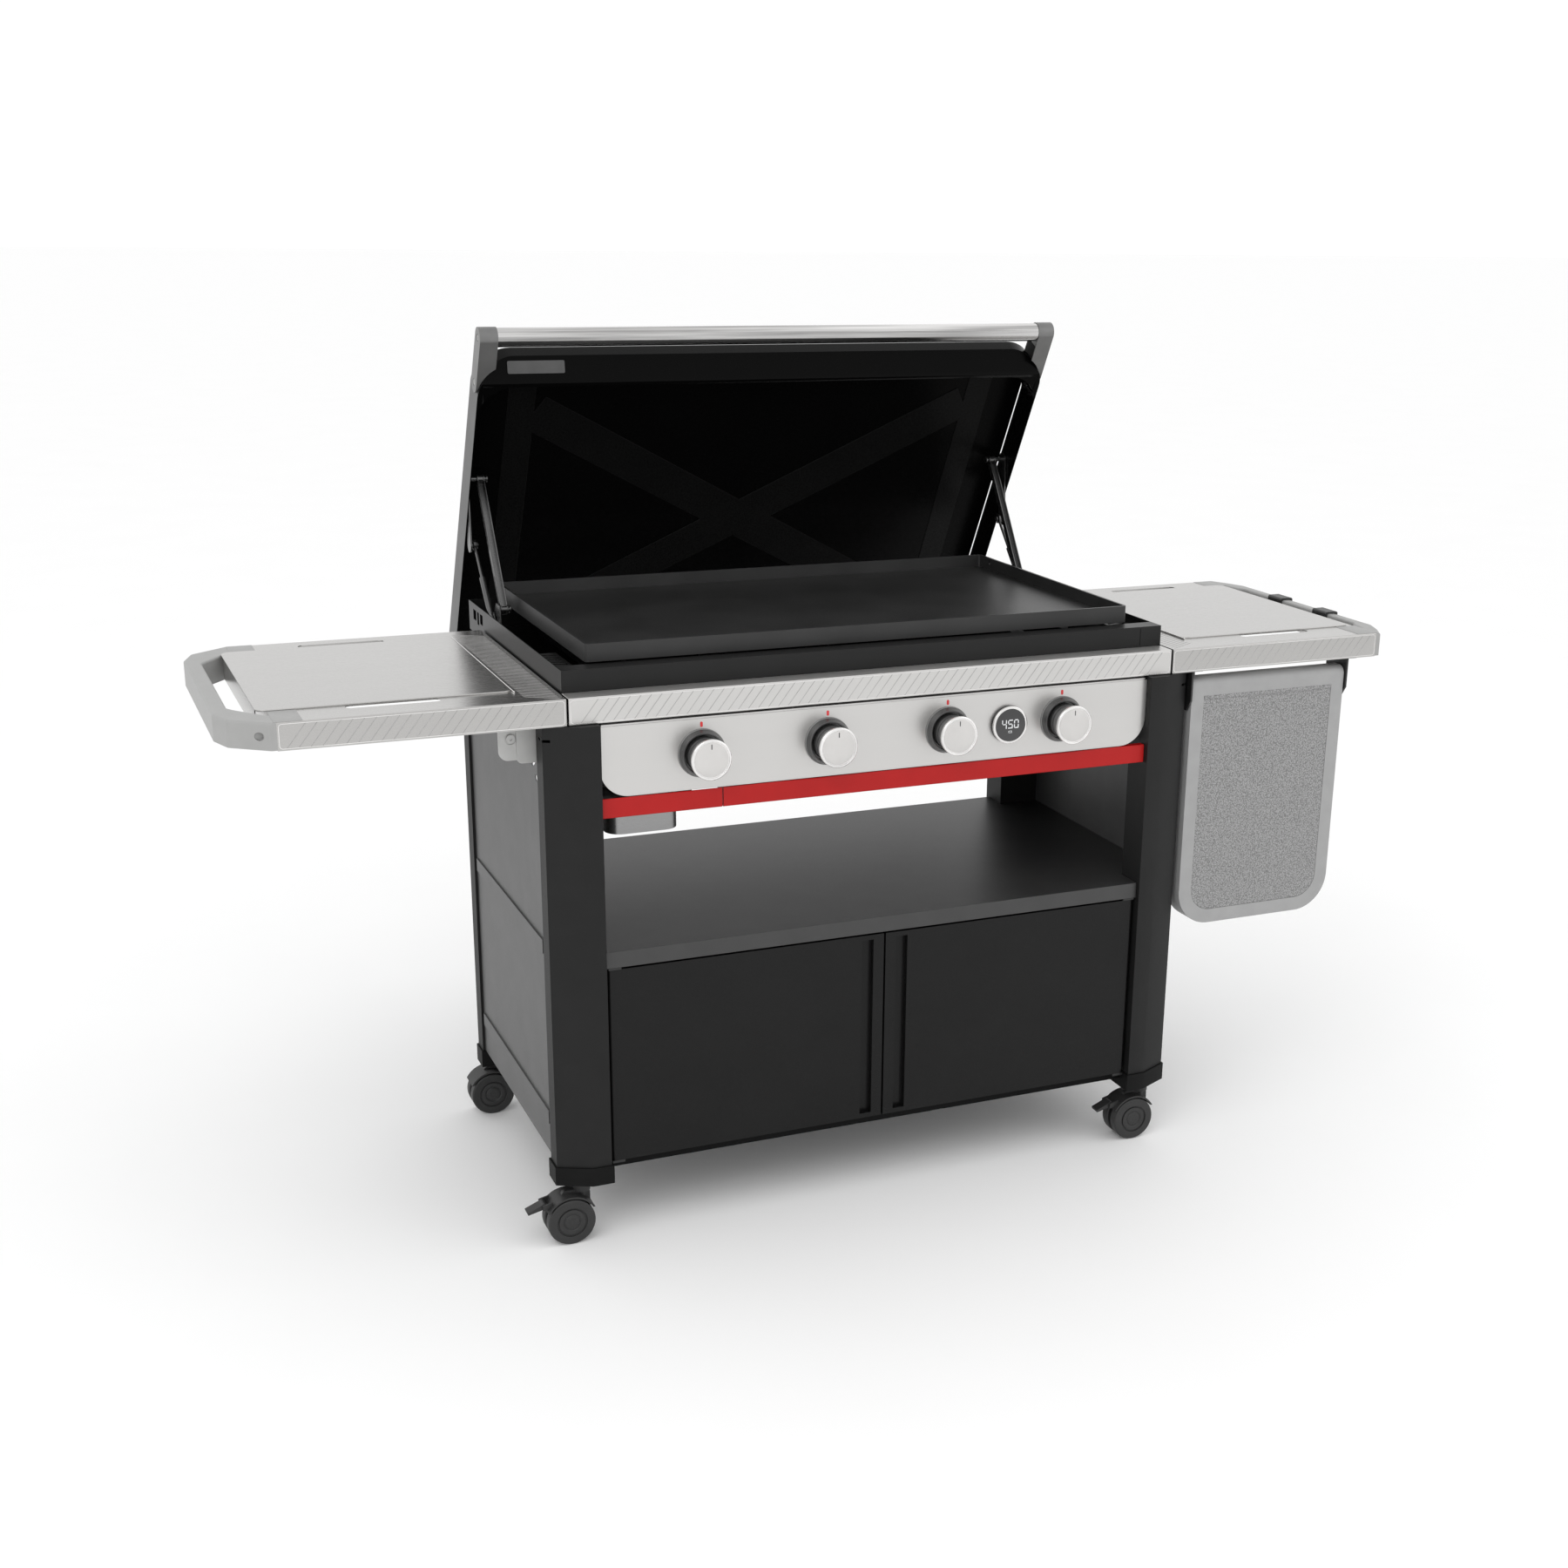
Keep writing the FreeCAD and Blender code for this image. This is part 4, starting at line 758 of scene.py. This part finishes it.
@dataclass
class Thermometer(Piece):
    """Round display with lit digits, a battery outline and a bright rim."""

    digit_tall: float = 12.5 * MM
    digit_half_wide: float = 3.4 * MM
    digit_pitch: float = 10.6 * MM
    digit_rise: float = 1.5 * MM
    battery_drop: float = 11.0 * MM
    stroke: float = 1.5 * MM
    reading: str = "450"

    SEGMENTS = {"4": "fgbc", "5": "afgcd", "0": "abcdef"}

    def build(self) -> None:
        """Add the rim, the reading and the battery sign."""
        low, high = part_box("display_housing")
        front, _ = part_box("display_lens")
        centre = Vector(((low.x + high.x) / 2, front.y, (low.z + high.z) / 2))
        place = Matrix.Translation(centre) @ FACING_FRONT
        r = (high.x - low.x) / 2
        rim = turned("display_rim", [(r * 0.9, -3 * MM), (r * 1.0, -2.6 * MM),
                                     (r * 1.0, 0.6 * MM), (r * 0.97, 1.2 * MM),
                                     (r * 0.88, 1.2 * MM), (r * 0.87, -0.05 * MM),
                                     (r * 0.4, -0.05 * MM)])
        soften(bake(rim, place), 0.2 * MM)
        self.dress(rim, BRIGHT_TRIM_AND_PAINTED_HIGHLIGHT, "cart", "display_black")
        glass = turned("display_glass", [(r * 0.86, -1 * MM), (r * 0.86, 0.15 * MM),
                                         (r * 0.84, 0.3 * MM), (r * 0.2, 0.3 * MM)])
        soften(bake(glass, place), 0.1 * MM)
        self.dress(glass, SLOT_FINISHES["display_glass"], "cart", "display_glass")
        strokes: list[bpy.types.Object] = []
        for index, digit in enumerate(self.reading):
            strokes += self.digit(digit, (index - 1) * self.digit_pitch)
        strokes.append(self.battery())
        digits = join(strokes[0], strokes[1:])
        digits.name = "display_reading"
        bake(digits, place)
        self.dress(digits, DIGIT, "cart", "display_glass")

    def digit(self, digit: str, x: float) -> list[bpy.types.Object]:
        """Model the strokes of one digit in the XY plane.

        Args:
            digit: Figure to show.
            x: Middle of the figure.

        Returns:
            Its strokes.
        """
        wide, tall, s = self.digit_half_wide, self.digit_tall / 2, self.stroke / 2
        ends = {"a": (-wide, tall, wide, tall), "g": (-wide, 0, wide, 0),
                "d": (-wide, -tall, wide, -tall), "f": (-wide, 0, -wide, tall),
                "e": (-wide, -tall, -wide, 0), "b": (wide, 0, wide, tall),
                "c": (wide, -tall, wide, 0)}
        strokes = []
        for segment in self.SEGMENTS[digit]:
            x0, y0, x1, y1 = ends[segment]
            low = Vector((x + x0 - s, y0 - s + self.digit_rise, 0.25 * MM))
            high = Vector((x + x1 + s, y1 + s + self.digit_rise, 0.45 * MM))
            strokes.append(slab("stroke", low, high))
        return strokes

    def battery(self) -> bpy.types.Object:
        """Model the outline of a small battery.

        Returns:
            The outline.
        """
        sign = plate("battery", (3.0 * MM, 1.7 * MM), 0.4 * MM, 0.2 * MM, hollow=0.6 * MM)
        return bake(sign, Matrix.Translation((0, -self.battery_drop, 0.25 * MM)))


@dataclass
class TableDetail(Piece):
    """Painted highlight along the bright edge of a table's raised plate, ribs darker as painted
    shade beside the cook box, and corner covers.
    """

    side: str
    plate_inner: float = 60.5 * MM
    plate_front: float = 68.0 * MM
    plate_rear: float = 470.0 * MM
    strip_pitch: float = 9.0 * MM
    strip_end: float = 22.0 * MM
    strip_half: float = 27.0 * MM
    strip_lean: float = 30.0
    cover_wide: float = 36.0 * MM
    cover_rise: float = 0.5 * MM

    def build(self) -> None:
        """Add the painted highlight on the plate's edge, the ribbed strip with its painted shade
        and the covers.
        """
        self.sign = -1 if self.side == "left" else 1
        self.low, self.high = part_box("table_" + self.side)
        self.near = self.high.x if self.sign < 0 else self.low.x
        self.edge()
        self.strip()
        self.covers()

    def edge(self) -> None:
        """Add a bright strip of painted highlight along the plate's end beside the cook box."""
        _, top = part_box("table_plates")
        x = self.near + self.sign * (self.plate_inner - 1.0 * MM)
        y0, y1 = self.low.y + self.plate_front, self.low.y + self.plate_rear
        strip = slab(self.side + "_plate_edge", Vector((x - 1.1 * MM, y0 - 6 * MM, self.high.z)),
                     Vector((x + 1.1 * MM, y1 - 2 * MM, top.z + 0.3 * MM)))
        soften(strip, 0.6 * MM, 3)
        self.dress(strip, BRIGHT_TRIM_AND_PAINTED_HIGHLIGHT, "cart", "table_steel")

    def strip(self) -> None:
        """Add the row of slanting ribs, darker as painted shade, on the strip beside the cook box.
        """
        centre = self.near + self.sign * 30 * MM
        rib = slab(self.side + "_strip_ribs", Vector((-self.strip_half, -0.7 * MM, -0.2 * MM)),
                   Vector((self.strip_half, 0.7 * MM, 0.3 * MM)))
        bake(rib, Matrix.Rotation(math.radians(self.strip_lean * self.sign), 4, "Z"))
        soften(rib, 0.2 * MM, 1)
        bake(rib, Matrix.Translation((centre, self.low.y + self.strip_end, self.high.z)))
        count = int((self.high.y - self.low.y - 2 * self.strip_end) / self.strip_pitch)
        repeat(rib, count, (0, self.strip_pitch, 0))
        self.dress(rib, RIB_PAINTED_SHADE, "cart", "table_steel")

    def covers(self) -> None:
        """Add the moulded corner covers that run on from the handle over the steel."""
        outer = self.low.x if self.sign < 0 else self.high.x
        spans = (("front", self.low.y + 1.5 * MM, self.low.y + self.plate_front - 1 * MM),
                 ("rear", self.low.y + self.plate_rear + 1 * MM, self.high.y - 1.5 * MM))
        for end, y0, y1 in spans:
            x0, x1 = sorted((outer + self.sign * 3 * MM, outer - self.sign * self.cover_wide))
            cover = slab("%s_%s_cover" % (self.side, end), Vector((x0, y0, self.high.z - 0.2 * MM)),
                         Vector((x1, y1, self.high.z + self.cover_rise)))
            soften(cover, 0.3 * MM)
            self.dress(cover, SLOT_FINISHES["grip_grey"], "cart", "grip_grey")


@dataclass
class FlapDetail(Piece):
    """Rolled head of the flap's board."""

    roll: float = 4.5 * MM

    def build(self) -> None:
        """Add the roll along the board's top edge."""
        low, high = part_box("folding_insert")
        wide = high.x - low.x
        roll = turned("flap_roll", [(2 * MM, 0), (self.roll, 0.8 * MM),
                                    (self.roll, wide - 0.8 * MM), (2 * MM, wide)], 40)
        place = Matrix.Translation((low.x, low.y + 2.2 * MM, high.z - 3 * MM))
        bake(roll, place @ Matrix.Rotation(math.radians(90), 4, "Y"))
        soften(roll, 0.3 * MM)
        self.dress(roll, SLOT_FINISHES["flap_speckle"], "folding_panel", "flap_speckle")


@dataclass
class CasterCaps(Piece):
    """Moulded hub discs on both faces of one twin wheel."""

    end: str
    side: str

    def build(self) -> None:
        """Model one cap and put it on each face."""
        name = "%s_%s" % (self.end, self.side)
        low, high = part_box("caster_wheel_" + name)
        cx, cz = (low.x + high.x) / 2, (low.z + high.z) / 2
        cap = turned("hub_front_" + name, [(21 * MM, -3 * MM), (21 * MM, -0.6 * MM),
                                           (20 * MM, -0.2 * MM), (14.5 * MM, -0.2 * MM),
                                           (13.5 * MM, -1.4 * MM), (12 * MM, -1.4 * MM),
                                           (11 * MM, -0.2 * MM), (2 * MM, -0.2 * MM)], 48)
        rear = twin(cap, "hub_rear_" + name, Matrix.Translation((cx, high.y, cz))
                    @ Matrix.Rotation(math.radians(-90), 4, "X"))
        bake(cap, Matrix.Translation((cx, low.y, cz)) @ FACING_FRONT)
        for piece in (cap, rear):
            soften(piece, 0.3 * MM)
            self.dress(piece, SLOT_FINISHES["caster_dark"], "wheel_" + name, "caster_dark")


# --------------------------------------------------------------------- studio


@dataclass
class Studio:
    """Pale floor, soft lights and the camera."""

    floor_size: float = 120.0
    sky: float = 1.04
    aim: Vector = field(default_factory=lambda: Vector((0, 0, 0.7)))

    def build(self) -> None:
        """Set the whole studio up."""
        self.floor()
        self.world()
        self.lamp("key", Vector((-2.2, -2.6, 3.4)), 2.6, 30.0)
        self.lamp("fill", Vector((2.8, -2.0, 2.6)), 2.2, 8.0)
        self.camera()

    def floor(self) -> None:
        """Lay the floor."""
        bpy.ops.object.select_all(action="DESELECT")
        bpy.ops.mesh.primitive_plane_add(size=self.floor_size)
        ground = named("studio_floor")
        paint = Finish("studio_floor", (0.95, 0.95, 0.95), 0.9, specular=0.1, grain=40,
                       bump=10 * UM, mottle_and_painted_reflection=0.005)
        ground.data.materials.append(paint.material())

    def world(self) -> None:
        """Light everything evenly from all round."""
        world = bpy.data.worlds.new("studio")
        bpy.context.scene.world = world
        world.use_nodes = True
        sky = world.node_tree.nodes["Background"]
        sky.inputs["Color"].default_value = (1.0, 1.0, 1.0, 1.0)
        sky.inputs["Strength"].default_value = self.sky
        bpy.context.scene.view_settings.view_transform = "Standard"

    def lamp(self, name: str, place: Vector, size: float, power: float) -> None:
        """Add one soft square lamp aimed at the cart.

        Args:
            name: Name of the lamp.
            place: Where it hangs.
            size: Side of the square.
            power: Watts.
        """
        lamp = bpy.data.lights.new(name, "AREA")
        lamp.size = size
        lamp.energy = power
        obj = bpy.data.objects.new(name, lamp)
        obj.location = place
        obj.rotation_euler = (self.aim - place).to_track_quat("-Z", "Y").to_euler()
        bpy.context.scene.collection.objects.link(obj)

    def camera(self) -> None:
        """Add the camera."""
        az, el, roll = (math.radians(a) for a in (VIEW_AZIMUTH, VIEW_ELEVATION, VIEW_ROLL))
        ahead = Vector((-math.sin(az) * math.cos(el), math.cos(az) * math.cos(el), -math.sin(el)))
        level = Vector((math.cos(az), math.sin(az), 0))
        above = level.cross(ahead)
        right = level * math.cos(roll) + above * math.sin(roll)
        up = above * math.cos(roll) - level * math.sin(roll)
        lens = bpy.data.cameras.new("view")
        lens.lens = CAMERA_LENS
        lens.sensor_width = 36.0
        lens.shift_x, lens.shift_y = CAMERA_SHIFT
        cam = bpy.data.objects.new("view", lens)
        cam.matrix_world = Matrix.Translation(CAMERA_PLACE) @ Matrix(
            (right, up, -ahead)).transposed().to_4x4()
        bpy.context.scene.collection.objects.link(cam)
        bpy.context.scene.camera = cam


def main() -> None:
    """Build every sub-assembly in order, then the studio."""
    logging.basicConfig(level=logging.INFO, format="%(name)s: %(message)s")
    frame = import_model()
    CadSurfaces().build(frame)
    for node in ("front_trim", "table_left", "table_right"):
        HatchedFascia(node).build()
    for number in range(1, 5):
        ControlKnob(number).build()
        KnobSurround(number).build()
    Thermometer().build()
    FlapDetail().build()
    for side in ("left", "right"):
        TableDetail(side).build()
        for end in ("front", "rear"):
            CasterCaps(end, side).build()
    Studio().build()


if __name__ == "__main__":
    main()
